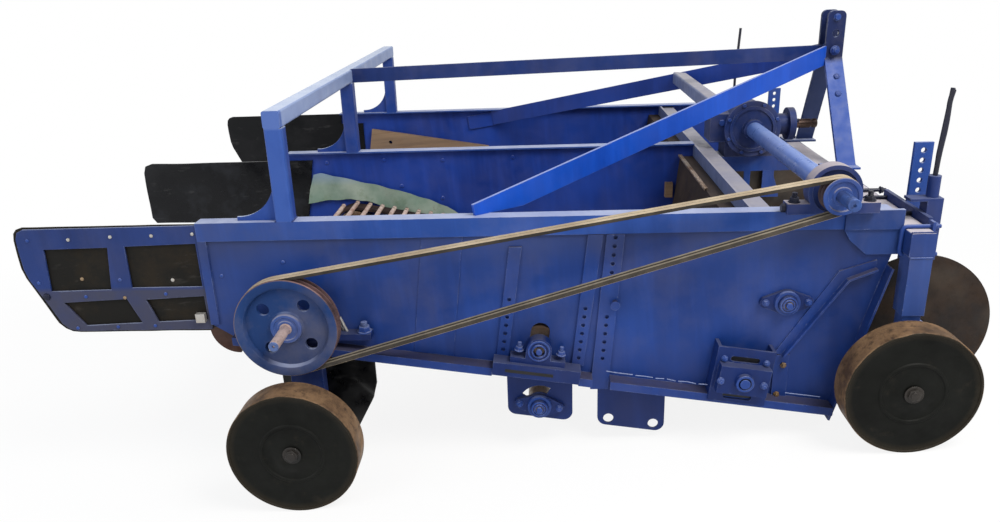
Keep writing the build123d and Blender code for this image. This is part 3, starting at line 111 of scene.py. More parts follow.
class Shape:
    """A mesh gathered from simple solids, in the level frame."""

    def __init__(self):
        self.mesh = bmesh.new()

    def add(self, other, matrix=Matrix()):
        """Takes in a loose bmesh, moved by the matrix."""
        other.transform(matrix)
        spare = bpy.data.meshes.new("spare")
        other.to_mesh(spare)
        self.mesh.from_mesh(spare)
        bpy.data.meshes.remove(spare)
        other.free()
        return self

    def box(self, x0, x1, y0, y1, z0, z1, matrix=Matrix()):
        loose = bmesh.new()
        bmesh.ops.create_cube(loose, size=1.0)
        place = Matrix.Translation(((x0 + x1) / 2, (y0 + y1) / 2, (z0 + z1) / 2))
        place = place @ Matrix.Diagonal((abs(x1 - x0), abs(y1 - y0), abs(z1 - z0), 1))
        return self.add(loose, matrix @ place)

    def plate(self, outline, y0, y1, holes=(), matrix=Matrix()):
        """A flat plate across Y from an outline in X and Z and the outlines of its holes."""
        loose = bmesh.new()
        edges = []
        for loop in (outline, *holes):
            corners = [loose.verts.new((x, y0, z)) for x, z in loop]
            edges += [loose.edges.new(pair) for pair in zip(corners, corners[1:] + corners[:1])]
        bmesh.ops.triangle_fill(loose, use_beauty=True, edges=edges, normal=OUT)
        made = bmesh.ops.extrude_face_region(loose, geom=list(loose.faces))
        moved = [v for v in made["geom"] if isinstance(v, bmesh.types.BMVert)]
        bmesh.ops.translate(loose, verts=moved, vec=(0, y1 - y0, 0))
        bmesh.ops.dissolve_limit(loose, angle_limit=0.01, verts=loose.verts, edges=loose.edges)
        bmesh.ops.recalc_face_normals(loose, faces=loose.faces)
        return self.add(loose, matrix)

    def skin(self, loose, rings, matrix=Matrix(), closed=False, looks=None):
        """Faces over rings of corners, with flat ends or closed on itself; a ring may be one point."""
        for low, high in zip(rings, rings[1:] + rings[:1] * closed):
            count = max(len(low), len(high))
            for step in range(count):
                after = (step + 1) % count
                spots = ((low, step), (low, after), (high, after), (high, step))
                face = loose.faces.new(list(dict.fromkeys(ring[at % len(ring)] for ring, at in spots)))
                face.material_index = looks[step] if looks else 0
        for ring in () if closed else (rings[0], rings[-1]):
            if len(ring) > 1:
                loose.faces.new(ring)
        bmesh.ops.recalc_face_normals(loose, faces=loose.faces)
        return self.add(loose, matrix)

    def turned(self, profile, centre, axis, segments, closed=False, spin=0.0):
        """A solid of revolution: profile is (radius, along) and axis a direction."""
        loose = bmesh.new()
        rings = []
        for radius, along in profile:
            count = segments if radius else 1
            rings.append(ring_of(loose, count, lambda c, s: (radius * c, radius * s, along), spin))
        return self.skin(loose, rings, facing(centre, axis), closed)

    def hollow(self, profile, centre, axis, segments):
        """A ring: a solid of revolution whose profile closes on itself."""
        return self.turned(profile, centre, axis, segments, closed=True)

    def rod(self, start, end, radius, segments, chamfer=0.0):
        """A round bar between two points, with optional chamfered ends."""
        start, end = Vector(start), Vector(end)
        length = (end - start).length
        cut = min(chamfer, radius * 0.9, length / 3)
        profile = [(radius - cut, 0), (radius, cut), (radius, length - cut), (radius - cut, length)]
        return self.turned(profile if cut else [(radius, 0), (radius, length)], start, end - start, segments)

    def hexagon(self, centre, axis, across, height, spin):
        """A hexagonal nut or bolt head with chamfered corners."""
        radius = across / math.sqrt(3)
        return self.turned([(radius, 0), (radius, height * 0.82), (radius * 0.88, height)], centre, axis, 6, spin=spin)

    def bolt(self, centre, axis, size, stub):
        """A bolt end sized by the thread: washer, nut and a threaded stub."""
        centre, axis = Vector(centre), Vector(axis).normalized()
        washer, nut, root, crest = size * 0.2, size * 0.75, size * 0.44, size * 0.5
        spin = random.uniform(0, 1)
        self.hollow([(size * 0.55, 0), (size * 1.1, 0), (size * 1.12, washer * 0.4), (size * 1.08, washer),
                     (size * 0.55, washer)], centre, axis, 24)
        self.hexagon(centre + axis * washer, axis, size * 1.6, nut, spin)
        if stub > 0:
            length = size * stub
            turns = max(2, int(length / 1.6))
            profile = [(root, 0)]
            for turn in range(turns):
                low = turn * length / turns
                profile += [(root, low + 0.1), (crest, low + length / turns * 0.5)]
            profile.append((size * 0.4, length))
            self.turned(profile, centre + axis * (washer + nut), axis, 16)
        return self

    def bolts(self, places, y, size, stub):
        """Bolt ends on a face at y, at places in X and Z."""
        for x, z in places:
            self.bolt((x, y, z), OUT, size, stub)

    def dome(self, centre, axis, radius, height):
        """A round bolt head."""
        profile = [(radius, 0), (radius, height * 0.35), (radius * 0.86, height * 0.75),
                   (radius * 0.5, height * 0.97), (0, height)]
        return self.turned(profile, centre, axis, 16)

    def domes(self, places, y, radius, height):
        """Round bolt heads on a face at y, at places in X and Z."""
        for x, z in places:
            self.dome((x, y, z), OUT, radius, height)

    def rings(self, centre, sizes):
        """Raised rings on a bearing face: inner radius, outer radius, height."""
        for inner, outer, height in sizes:
            profile = [(inner, -0.5), (inner + 0.6, height), (outer - 0.8, height), (outer, -0.5)]
            self.hollow(profile, centre, OUT, 40)

    def tube(self, path, radii, segments):
        """A round bar along a path, with a radius at each point."""
        loose = bmesh.new()
        rings, up = [], None
        for index, (point, radius) in enumerate(zip(path, radii)):
            along = (path[min(index + 1, len(path) - 1)] - path[max(index - 1, 0)]).normalized()
            if up is None:
                up = along.orthogonal().normalized()
            up = (up - along * up.dot(along)).normalized()
            side = along.cross(up)
            rings.append(ring_of(loose, segments, lambda c, s: point + up * radius * c + side * radius * s))
        return self.skin(loose, rings)

    def bent_rod(self, points, radius, corner):
        """A round bar that follows points, with its corners rounded."""
        path = round_corners([Vector(p) for p in points], corner)
        return self.tube(path, [radius] * len(path), 14)

    def weld(self, start, end, radius, pitch=3.4):
        """A bead of overlapping lumps between two points."""
        start, end = Vector(start), Vector(end)
        steps = 2 * max(2, int((end - start).length / pitch))
        path = [start.lerp(end, step / steps) for step in range(steps + 1)]
        swells = [radius * (1.0 if step % 2 else 0.78) * random.uniform(0.86, 1.12) for step in range(steps + 1)]
        return self.tube(path, swells, 8)

    def band(self, path, section, looks=None):
        """A closed loop round a path in X and Z; the section is (across Y, outward) points."""
        loose = bmesh.new()
        rings = []
        for index, (x, z) in enumerate(path):
            before, after = path[index - 1], path[(index + 1) % len(path)]
            along = Vector((after[0] - before[0], after[1] - before[1])).normalized()
            rings.append([loose.verts.new((x + along.y * out, y, z - along.x * out)) for y, out in section])
        return self.skin(loose, rings, closed=True, looks=looks)

    def sliced(self, step, axes="xz"):
        """Cuts all faces on a grid, so that they can be bent."""
        for index in ["xyz".index(axis) for axis in axes]:
            reach = [v.co[index] for v in self.mesh.verts]
            place = math.ceil(min(reach) / step) * step
            while place < max(reach):
                normal = Vector((index == 0, index == 1, index == 2))
                geometry = [*self.mesh.verts, *self.mesh.edges, *self.mesh.faces]
                bmesh.ops.bisect_plane(self.mesh, geom=geometry, plane_co=normal * place, plane_no=normal, dist=0.01)
                place += step
        return self

    def bend(self, shift):
        """Moves each corner by what shift(point) gives."""
        for vert in self.mesh.verts:
            vert.co += Vector(shift(vert.co.copy()))
        return self

    def both_sides(self):
        """Adds the mirror image on the left side of the machine."""
        other = self.mesh.copy()
        bmesh.ops.scale(other, verts=other.verts, vec=(1, -1, 1))
        bmesh.ops.reverse_faces(other, faces=other.faces)
        return self.add(other)

    def make(self, name, slot, material, bevel=0.0, body="frame", replaces=(), also=(), smooth=35.0):
        """Turns the gathered mesh into an object that rides on a body."""
        mesh = bpy.data.meshes.new(name)
        self.mesh.to_mesh(mesh)
        self.mesh.free()
        mesh.transform(LEVEL)
        for look in (material, *also):
            mesh.materials.append(look)
        piece = placed(name, mesh)
        if bevel:
            modifier = piece.modifiers.new("edges", "BEVEL")
            modifier.width, modifier.segments = bevel * MM, 2
            modifier.limit_method, modifier.angle_limit = "ANGLE", math.radians(40)
            modifier.harden_normals = True
        mesh.shade_smooth()
        mesh.set_sharp_from_angle(angle=math.radians(smooth))
        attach(piece, body)
        if replaces:
            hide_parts(*replaces)
        return piece


def repaint(piece, test):
    """Gives the piece's second material to each face whose middle passes the test, in level millimetres."""
    back = LEVEL.inverted()
    for face in piece.data.polygons:
        if test(back @ face.center):
            face.material_index = 1


def round_corners(points, radius, steps=5):
    """The same route with each corner drawn as a short curve."""
    route = [points[0]]
    for before, corner, after in zip(points, points[1:], points[2:]):
        back, ahead = before - corner, after - corner
        reach = min(radius, back.length * 0.45, ahead.length * 0.45)
        start, end = corner + back.normalized() * reach, corner + ahead.normalized() * reach
        for step in range(steps + 1):
            t = step / steps
            route.append(start * (1 - t) ** 2 + corner * 2 * t * (1 - t) + end * t ** 2)
    route.append(points[-1])
    return route


def circle(x, z, radius, count):
    """Points of a circle in X and Z."""
    return [(x + radius * math.cos(2 * math.pi * i / count), z + radius * math.sin(2 * math.pi * i / count))
            for i in range(count)]


def belt_path(rear, front, rear_radius, front_radius, steps, run):
    """The tight loop round two pulleys: steps corners round each, and run along each straight."""
    span = (front[0] - rear[0], front[1] - rear[1])
    base = math.atan2(span[1], span[0])
    spread = math.acos((rear_radius - front_radius) / math.hypot(*span))

    def arc(centre, radius, start, end):
        turns = [start + (end - start) * i / steps for i in range(steps + 1)]
        return [(centre[0] + radius * math.cos(t), centre[1] + radius * math.sin(t)) for t in turns]

    def straight(start, end):
        return [tuple(a + (b - a) * (i / run) for a, b in zip(start, end)) for i in range(1, run)]

    nose = arc(front, front_radius, base - spread, base + spread)
    tail = arc(rear, rear_radius, base + spread, base + 2 * math.pi - spread)
    return nose + straight(nose[-1], tail[0]) + tail + straight(tail[-1], nose[0])


def spaced(path, count):
    """Evenly spaced points along a closed path, each with its direction."""
    ring = [Vector(p) for p in path] + [Vector(path[0])]
    total = sum((b - a).length for a, b in zip(ring, ring[1:]))
    places, walked, index = [], 0.0, 0
    for number in range(count):
        target = total * number / count
        while walked + (ring[index + 1] - ring[index]).length < target:
            walked += (ring[index + 1] - ring[index]).length
            index += 1
        along = (ring[index + 1] - ring[index]).normalized()
        places.append((ring[index] + along * (target - walked), along))
    return places


# Materials


def srgb(screen):
    """A screen colour such as 0x16306E, as the linear colour that a shader takes."""
    return tuple(((c / 255 + 0.055) / 1.055) ** 2.4 if c > 10 else c / 255 / 12.92 for c in screen.to_bytes(3, "big"))


class Nodes:
    """A short way to wire the nodes of a material or a world."""

    def __init__(self, owner, spec=None):
        owner = bpy.data.materials.new(owner) if isinstance(owner, str) else owner
        owner.use_nodes = True
        self.owner, self.tree, self.spot = owner, owner.node_tree, None
        self.shader = self.tree.nodes.get("Principled BSDF")
        if spec is not None:
            self.fill(self.shader, {"Specular IOR Level": spec})

    def fill(self, node, inputs):
        """Sets each input, by name or number, to a value or links it to a socket."""
        for key, value in inputs.items():
            if isinstance(value, bpy.types.NodeSocket):
                self.tree.links.new(value, node.inputs[key])
            else:
                node.inputs[key].default_value = value

    def node(self, kind, inputs=None, **settings):
        made = self.tree.nodes.new("ShaderNode" + kind)
        for key, value in settings.items():
            setattr(made, key, value)
        self.fill(made, inputs or {})
        return made

    def coordinates(self):
        """The object coordinates, from one node."""
        self.spot = self.spot or self.node("TexCoord")
        return self.spot.outputs["Object"]

    def noise(self, scale, detail, roughness=0.55, stretch=(1, 1, 1)):
        mapped = self.node("Mapping", {"Vector": self.coordinates(), "Scale": stretch})
        inputs = {"Vector": mapped.outputs[0], "Scale": scale, "Detail": detail, "Roughness": roughness}
        return self.node("TexNoise", inputs).outputs["Fac"]

    def ramp(self, value, low, high, start=0.0, end=1.0):
        """Maps low..high to start..end, held at both ends."""
        inputs = {"Value": value, "From Min": low, "From Max": high, "To Min": start, "To Max": end}
        return self.node("MapRange", inputs, clamp=True).outputs["Result"]

    def math(self, operation, first, second=0):
        return self.node("Math", {0: first, 1: second}, operation=operation).outputs[0]

    def mix(self, factor, first, second):
        """Mixes two colours, each a screen colour, a linear one or a socket."""
        made = self.node("Mix", {"Factor": factor}, data_type="RGBA")
        for key, value in (("A", first), ("B", second)):
            socket = next(s for s in made.inputs if s.name == key and s.type == "RGBA")
            value = srgb(value) if isinstance(value, int) else value
            if isinstance(value, tuple):
                socket.default_value = (*value, 1.0)
            else:
                self.tree.links.new(value, socket)
        return next(s for s in made.outputs if s.type == "RGBA")

    def patch(self, colour, other, scale, detail, roughness, low, high, share=1.0, stretch=(1, 1, 1)):
        """Lays another colour over the patches of a noise, up to a share."""
        return self.mix(self.ramp(self.noise(scale, detail, roughness, stretch), low, high, 0, share), colour, other)

    def parts(self, vector):
        """The X, Y and Z of a vector."""
        return self.node("SeparateXYZ", {0: vector}).outputs

    def level(self, axis):
        """One coordinate in the level frame, in metres."""
        inputs = {"Vector": self.coordinates(), "Rotation": (0, -STANCE, 0), "Location": -(TILT.inverted() @ ORIGIN)}
        return self.parts(self.node("Mapping", inputs).outputs[0])[axis]

    def upward(self, low, high):
        """One on faces that look up, zero on walls."""
        return self.ramp(self.parts(self.node("NewGeometry").outputs["Normal"])["Z"], low, high)

    def rounded(self, radius):
        """The normal as if the edges were rounded."""
        return self.node("Bevel", {"Radius": radius}, samples=4).outputs["Normal"]

    def edges(self, radius):
        """One along convex and concave edges, from the rounded normal."""
        normals = {0: self.rounded(radius), 1: self.node("NewGeometry").outputs["Normal"]}
        return self.ramp(self.node("VectorMath", normals, operation="DOT_PRODUCT").outputs["Value"], 0.995, 0.85)

    def finish(self, colour, rough, height, strength, distance):
        """Sets colour, roughness and relief over softly rounded edges, and gives the material."""
        inputs = {"Height": height, "Strength": strength, "Distance": distance, "Normal": self.rounded(0.0012)}
        normal = self.node("Bump", inputs).outputs["Normal"]
        self.fill(self.shader, {"Base Color": colour, "Roughness": rough, "Normal": normal})
        return self.owner

    def blend(self, share, first, second, output):
        """Sends a blend of two shader nodes to the output node."""
        mixed = self.node("MixShader", {0: share, 1: first.outputs[0], 2: second.outputs[0]})
        self.fill(self.tree.nodes[output], {"Surface": mixed.outputs[0]})


# PALE_DUST_AND_SHEEN, the default colour of up-facing faces, is dust with a painted sun sheen.
DUST, PALE_DUST_AND_SHEEN, CHIPPED, SOIL = 0x968A7A, 0xA0A8C2, 0x7A84A4, 0x423C3E


def painted(name, deep, light, dust=0.12, top=0.75, top_colour=PALE_DUST_AND_SHEEN, wear=0.5, gloss=0.42, spec=0.22, low=0.75,
            zones=()):
    """Brush painted steel with soft patches, a colour on up-facing faces (soil, dust and worn paint, and with the pale
    top colours also a painted sun sheen), worn edges, and zones of another colour.

    A zone is (axis, where it starts, where it is full, share, colour), in level millimetres."""
    n = Nodes(name, spec)
    colour = n.patch(deep, light, 2.2, 3, 0.55, 0.35, 0.68)
    colour = n.patch(colour, tuple(1.35 * c for c in srgb(light)), 26, 4, 0.6, 0.45, 0.75, 0.35, (1, 1, 0.1))
    colour = n.patch(colour, DUST, 5.5, 6, 0.65, 0.45, 0.75, dust)
    for axis, begin, full, share, other in zones:
        band = n.ramp(n.level(axis), begin * MM, full * MM, 0, share)
        colour = n.mix(n.math("MULTIPLY", band, n.ramp(n.noise(11, 4, 0.6), 0.25, 0.5, 0.7, 1.0)), colour, other)
    # Up-facing faces take the top colour: dirt and worn paint, and where the top colour is pale also a painted sun
    # sheen.
    on_top = n.math("MULTIPLY", n.upward(low, low + 0.2), n.ramp(n.noise(9, 5, 0.6), 0.2, 0.62, top * 0.6, top))
    colour = n.mix(on_top, colour, top_colour)
    chips = n.ramp(n.noise(60, 5, 0.7), 0.6, 0.66)
    rubbed = n.math("MULTIPLY", n.edges(0.0035), n.ramp(n.noise(18, 4, 0.6), 0.45, 0.62, 0, wear))
    chipped = n.math("MAXIMUM", rubbed, n.math("MULTIPLY", chips, n.math("MULTIPLY", n.edges(0.008), wear)))
    rough = n.ramp(n.noise(22, 5, 0.6), 0.3, 0.7, gloss - 0.08, gloss + 0.2)
    return n.finish(n.mix(chipped, colour, CHIPPED), rough, n.noise(140, 4, 0.6), 0.12, 0.0006)


def rusty(name, base, spot, amount=0.5, gloss=0.55, metal=0.35, haze=0.6):
    """Bare or scoured steel with rust and soil."""
    n = Nodes(name, 0.25)
    n.fill(n.shader, {"Metallic": metal})
    colour = n.patch(base, spot, 7, 6, 0.7, 0.5 - amount * 0.2, 0.62)
    colour = n.patch(colour, tuple(c * 0.45 for c in srgb(spot)), 70, 5, 0.7, 0.55, 0.7, 0.7)
    colour = n.patch(colour, DUST, 3, 3, 0.55, 0.5, 0.75, haze)
    rough = n.ramp(n.noise(30, 5), 0.3, 0.7, gloss - 0.15, gloss + 0.2)
    return n.finish(colour, rough, n.noise(90, 6, 0.7), 0.35, 0.001)


def rubbery(name, base, soil, amount=0.5, gloss=0.5, spec=0.12):
    """Rubber sheet with dried soil and scuffs."""
    n = Nodes(name, spec)
    scuffed = tuple(0.5 * (a + b) for a, b in zip(srgb(soil), srgb(0x6E6C6A)))
    colour = n.patch(base, soil, 6, 6, 0.7, 0.56 - amount * 0.18, 0.78, 0.85)
    colour = n.patch(colour, scuffed, 40, 5, 0.7, 0.6, 0.75, 0.3, (0.25, 1, 1))
    rough = n.ramp(n.noise(12, 5), 0.3, 0.7, gloss - 0.12, gloss + 0.25)
    return n.finish(colour, rough, n.noise(60, 6, 0.65), 0.3, 0.001)


def wooden(name):
    """Weathered softwood with grain along X."""
    n = Nodes(name)
    grain = n.noise(9, 8, 0.7, (0.12, 1, 1.9))
    colour = n.mix(n.ramp(grain, 0.35, 0.65), 0x6A5644, 0x90765C)
    colour = n.patch(colour, 0x603C26, 30, 6, 0.7, 0.58, 0.7, 0.7, (0.05, 1, 2.4))
    colour = n.patch(colour, 0x78685A, 4, 5, 0.6, 0.52, 0.75, 0.7)
    return n.finish(colour, n.ramp(grain, 0.3, 0.7, 0.65, 0.85), grain, 0.4, 0.0012)


def canvas_cloth(name):
    """Pale green woven sheet, bleached and stained, its upper part bluish."""
    n = Nodes(name)
    base = n.patch(0x687E70, 0x8C988C, 7, 5, 0.6, 0.38, 0.66)
    base = n.patch(base, 0x546A4C, 15, 6, 0.7, 0.55, 0.72, 0.6)
    base = n.patch(base, 0x5C564A, 28, 6, 0.7, 0.62, 0.75, 0.7)
    base = n.mix(n.ramp(n.level("Z"), -0.13, -0.07, 0, 0.75), base, 0x768CB0)
    weave = n.node("TexWave", {"Scale": 260, "Vector": n.coordinates()}).outputs["Fac"]
    return n.finish(base, 0.85, weave, 0.25, 0.0006)


def wheel_finish(name, x, z):
    """Dark painted disc inside a brown, soil polished rim, told apart by the distance from the axle."""
    n = Nodes(name, 0.12)
    centre = LEVEL @ Vector((x, 0, z))
    spot = n.parts(n.coordinates())
    across = n.math("SUBTRACT", spot["X"], centre.x)
    up = n.math("SUBTRACT", spot["Z"], centre.z)
    reach = n.math("SQRT", n.math("ADD", n.math("MULTIPLY", across, across), n.math("MULTIPLY", up, up)))
    wobble = n.ramp(n.noise(30, 4, 0.6), 0.35, 0.75, -0.0012, 0.0022)
    rim = n.ramp(n.math("ADD", reach, wobble), 0.1878, 0.1888)
    tread = n.patch(n.patch(0x46362A, 0x80654A, 10, 6, 0.7, 0.36, 0.66), 0x28201C, 45, 6, 0.7, 0.52, 0.68, 0.75)
    disc = n.patch(n.patch(0x090A08, 0x141512, 5, 6, 0.65, 0.35, 0.7), 0x363028, 16, 6, 0.7, 0.58, 0.78, 0.4)
    disc = n.mix(n.ramp(reach, 0.165, 0.184, 0, 0.35), disc, 0x3E362A)
    rough = n.ramp(n.noise(25, 5), 0.3, 0.7, 0.42, 0.7)
    return n.finish(n.mix(rim, disc, tread), rough, n.noise(80, 6, 0.7), 0.3, 0.001)


# Wall: the deeper blue towards the bottom is painted shade, and the greyish band under the rail is the rail's painted
# shadow with dust. It also turns darker navy towards the front end and greyer towards the rear end, and its up-facing
# faces take soil.
WALL_BLUE = painted("paint_blue", 0x16306E, 0x1E3F87, top=0.75, top_colour=SOIL, zones=(
    ("Z", -330, -450, 0.35, 0x0E2662), ("Z", -150, -50, 0.5, 0x363A4E), ("X", 1750, 1860, 0.55, 0x16224A),
    ("X", 300, 60, 0.35, 0x2C324C)))
BLUE = painted("paint_blue_bright", 0x1A3A7E, 0x244892, top=0.85)
RAIL_BLUE = painted("paint_blue_rail", 0x1C3C80, 0x264A94, top=0.9, zones=(("X", 330, 200, 0.35, 0x343852),))
# Portal: the near-white top colour is dust with a painted sun sheen, the pale beam above z 270 is painted sunlight,
# and the lighter near post beyond y -925 is painted sunlight.
PORTAL_BLUE = painted("paint_blue_portal", 0x143072, 0x1C3C84, top=0.9, top_colour=0xBAC4D8, zones=(
    ("Z", 270, 276, 0.85, 0x8C9CC0), ("Y", -925, -935, 0.8, 0x34549C)))
# Mast: below z 300 the legs are lighter as painted sunlight, and from y 20 outward the far side is darker as painted
# shade.
MAST_BLUE = painted("paint_blue_mast", 0x0C173C, 0x122250, top=0.6, zones=(
    ("Z", 318, 300, 0.9, 0x2E4C96), ("Y", 20, 50, 0.75, 0x22283C)))
BLUE_DARK = painted("paint_blue_dark", 0x142658, 0x1C326C, dust=0.1, top=0.6, top_colour=0x5A607A)
BLUE_UNDER = painted("paint_blue_under", 0x0A1E50, 0x102862, dust=0.04, top=0.7, top_colour=0x484C62)
BLUE_INNER = painted("paint_blue_inner", 0x122C74, 0x1C3C90, dust=0.05, top=0.6)
BRACE_BLUE = painted("paint_blue_brace", 0x0A3EA0, 0x124CB6, dust=0.03, top=0.6)
WING_BLUE = painted("paint_blue_wing", 0x142656, 0x1C326A, dust=0.06, top=0.6, zones=(
    ("Z", -188, -204, 0.85, 0x3C3C4A),))
BOLT_BLUE = painted("paint_blue_bolts", 0x183270, 0x26448A, dust=0.1, top=0.4, wear=0.6)
WELD_PALE = painted("paint_blue_welds", 0x4C5A88, 0x7480A4, dust=0.3)
HOUSING_BLUE = painted("paint_blue_housing", 0x1A2A5C, 0x263A74, dust=0.2, top=0.85, low=0.35, top_colour=0xA89EA0)
BLUE_CAST = painted("paint_blue_cast", 0x182856, 0x22366E, dust=0.2, top=0.6, top_colour=0x545462, wear=0.7, gloss=0.5)
LEG_BLUE = painted("paint_blue_leg", 0x243A74, 0x304A86, dust=0.1, top=0.7, wear=0.9)
TOOLBAR_BLUE = painted("paint_blue_toolbar", 0x162C62, 0x203C7C, dust=0.08, top=0.9, top_colour=0xC4BCBE, wear=0.9)
TUBE_BLUE = painted("paint_blue_tube", 0x425EA0, 0x5470B0, dust=0.1, top=0.35, top_colour=0x96A8D0, gloss=0.3,
                    spec=0.5)
PALE_BLUE = painted("paint_blue_pale", 0x505E88, 0x647096, dust=0.2, top=0.9, top_colour=0x969296, wear=0.8)
AXLE_STEEL = rusty("axle_steel", 0x1A1B1B, 0x2C2826, haze=0.1, gloss=0.35, metal=0.2)
PAN_STEEL = rusty("pan_steel", 0x3A2420, 0x4C342A, haze=0.15)
STUB_FACE = rusty("stub_face", 0x506494, 0x465276, amount=0.3, gloss=0.4, metal=0.2, haze=0.1)
BRACKET_BLUE = painted("paint_blue_bracket", 0x1C3268, 0x26407A, dust=0.15, top=0.8)
DARK_STEEL = rusty("dark_steel", 0x242121, 0x362A22, haze=0.2)
NAVY_STEEL = rusty("navy_steel", 0x12182E, 0x1E202C, haze=0.05, gloss=0.4, metal=0.1)
WORN_STEEL = rusty("worn_steel", 0x8C827A, 0x604A3A, gloss=0.45, metal=0.4)
ROD_STEEL = rusty("rod_steel", 0xCEB8AE, 0x967668, amount=0.1, gloss=0.5, metal=0.1, haze=0.2)
SPLINE_STEEL = rusty("spline_steel", 0x5C483E, 0x382822, amount=0.4, gloss=0.45, metal=0.3)
STUB_STEEL = rusty("stub_steel", 0xBEA8A2, 0x927A74, amount=0.3, gloss=0.35, metal=0.3, haze=0.2)
STUB_BLUE = rusty("stub_end", 0x3A5C9E, 0x364674, amount=0.3, gloss=0.35, metal=0.2, haze=0.1)
PULLEY_CAST = painted("pulley_cast", 0x182E5A, 0x223C6C, dust=0.25, top=0.5, wear=0.6, gloss=0.62, spec=0.1)
PULLEY_BAND = rusty("pulley_band", 0x705654, 0x3E3238, amount=0.6, gloss=0.4, metal=0.25, haze=0.3)
PULLEY_HUB = painted("pulley_hub", 0x223C7A, 0x365290, dust=0.2, top=0.75, low=0.35, top_colour=0x848088, wear=0.9,
                     gloss=0.4)
PAD_RUBBER = rubbery("pad_rubber", 0x1A1917, 0x322A20, amount=0.6, spec=0.08)
RUBBER = rubbery("black_rubber", 0x08090C, 0x1A1A1C, amount=0.2, gloss=0.35, spec=0.15)
RUBBER_SMEARED = rubbery("smeared_rubber", 0x08090D, 0x282A30, amount=0.25, gloss=0.25, spec=0.2)
SKIRT_RUBBER = rubbery("skirt_rubber", 0x060608, 0x1E1C1C, amount=0.3, gloss=0.3, spec=0.4)
SOILED_RUBBER = rubbery("soiled_rubber", 0x2C2626, 0x504640, amount=0.9, gloss=0.75)
WEB_BELT = rubbery("web_belt", 0x221C1E, 0x5C4842, amount=0.7, gloss=0.7)
# Belt backs: pale dust, lightened further as a painted highlight.
BELT_BACK = rubbery("belt_back", 0x988872, 0xC8BAA2, amount=0.9, gloss=0.8)
BELT_SIDE = rubbery("belt_side", 0x36322E, 0x5C544A, amount=0.6, gloss=0.65)
BELT_INSIDE = rubbery("belt_inside", 0x6E665A, 0xA09684, amount=0.8, gloss=0.8)
WOOD = wooden("weathered_wood")
CLOTH = canvas_cloth("pale_canvas")
ZINC = rusty("zinc_bolts", 0xB0AEAA, 0x8C765C, amount=0.2, gloss=0.4, metal=0.6)
BRASS = rusty("brass_bolts", 0x967850, 0x604832, amount=0.3, gloss=0.4, metal=0.6)
WHEEL_LOOKS = {"front": wheel_finish("wheel_front", *FRONT_WHEEL), "rear": wheel_finish("wheel_rear", *REAR_WHEEL)}

NODE_LOOKS = (
    (WALL_BLUE, "side_wall_right wall_panels adjuster_bars"), (BRACE_BLUE, "side_brace_right"),
    (BLUE_INNER, "side_wall_left centre_wall side_brace_left"), (BLUE_DARK, "centre_brace lower_hitch toolbar_clamps"),
    (BLUE_CAST, "gearbox"), (BLUE_UNDER, "bearing_units hanger_plates"), (HOUSING_BLUE, "drive_housing"),
    (TUBE_BLUE, "drive_tube"), (PALE_BLUE, "cross_plate cross_tube"), (NAVY_STEEL, "cranks"),
    (DARK_STEEL, "coulter_disc_right coulter_disc_left"), (WORN_STEEL, "share_blades web_rollers"),
    (PAN_STEEL, "rear_pans"), (BRACKET_BLUE, "front_brackets"), (WOOD, "wood_board wood_block"),
    (TOOLBAR_BLUE, "toolbar"), (PORTAL_BLUE, "rear_portal"), (RAIL_BLUE, "top_rails"),
)
look_of = {name: look for look, names in NODE_LOOKS for name in names.split()}
for node_name, node_object in frame["nodes"].items():
    node_object.data.materials.clear()
    node_object.data.materials.append(look_of.get(node_name, BLUE))


# Rod webs: belts with rivets, and round rods between them


def build_webs():
    path = belt_path(REAR_SHAFT, WEB_NOSE, 76.0, 44.0, steps=20, run=24)
    for side, name in ((1, "left"), (-1, "right")):
        belts = Shape()
        for low in (LANE_INNER, LANE_OUTER - WEB_BELT_WIDTH):
            high = low + WEB_BELT_WIDTH
            section = [(low, 1.5), (low, 10), (low + 2, 12), (high - 2, 12), (high, 10), (high, 1.5), (high - 2, 0),
                       (low + 2, 0)]
            belts.band(path, [(side * y, out) for y, out in section])
        belts.make("web_belts_" + name, "black_rubber", WEB_BELT, replaces=("rod_web_" + name,))
        rods, rivets = Shape(), Shape()
        for place, along in spaced(path, WEB_RODS):
            out = Vector((along.y, -along.x))
            middle, spot = place + out * 18, place + out * 25
            ends = [(middle.x, side * y, middle.y) for y in (LANE_INNER + 12, LANE_OUTER - 12)]
            rods.rod(*ends, 8.4, 12, 1)
            for y in (LANE_INNER + 18, LANE_INNER + 42, LANE_OUTER - 42, LANE_OUTER - 18):
                rivets.dome((spot.x, side * y, spot.y), (out.x, 0, out.y), 5, 2.5)
        rods.make("web_rods_" + name, "bare_steel", ROD_STEEL)
        rivets.make("web_rivets_" + name, "bare_steel", WORN_STEEL)


# Belt drive


def grooves(radius):
    """The profile of a pulley's two grooves."""
    floor, profile = radius - 11.6, []
    for middle in (-HALF_BELT_PITCH, HALF_BELT_PITCH):
        profile += [(radius, middle - 8.6), (floor, middle - 5.6), (floor, middle + 5.6), (radius, middle + 8.6)]
    return profile


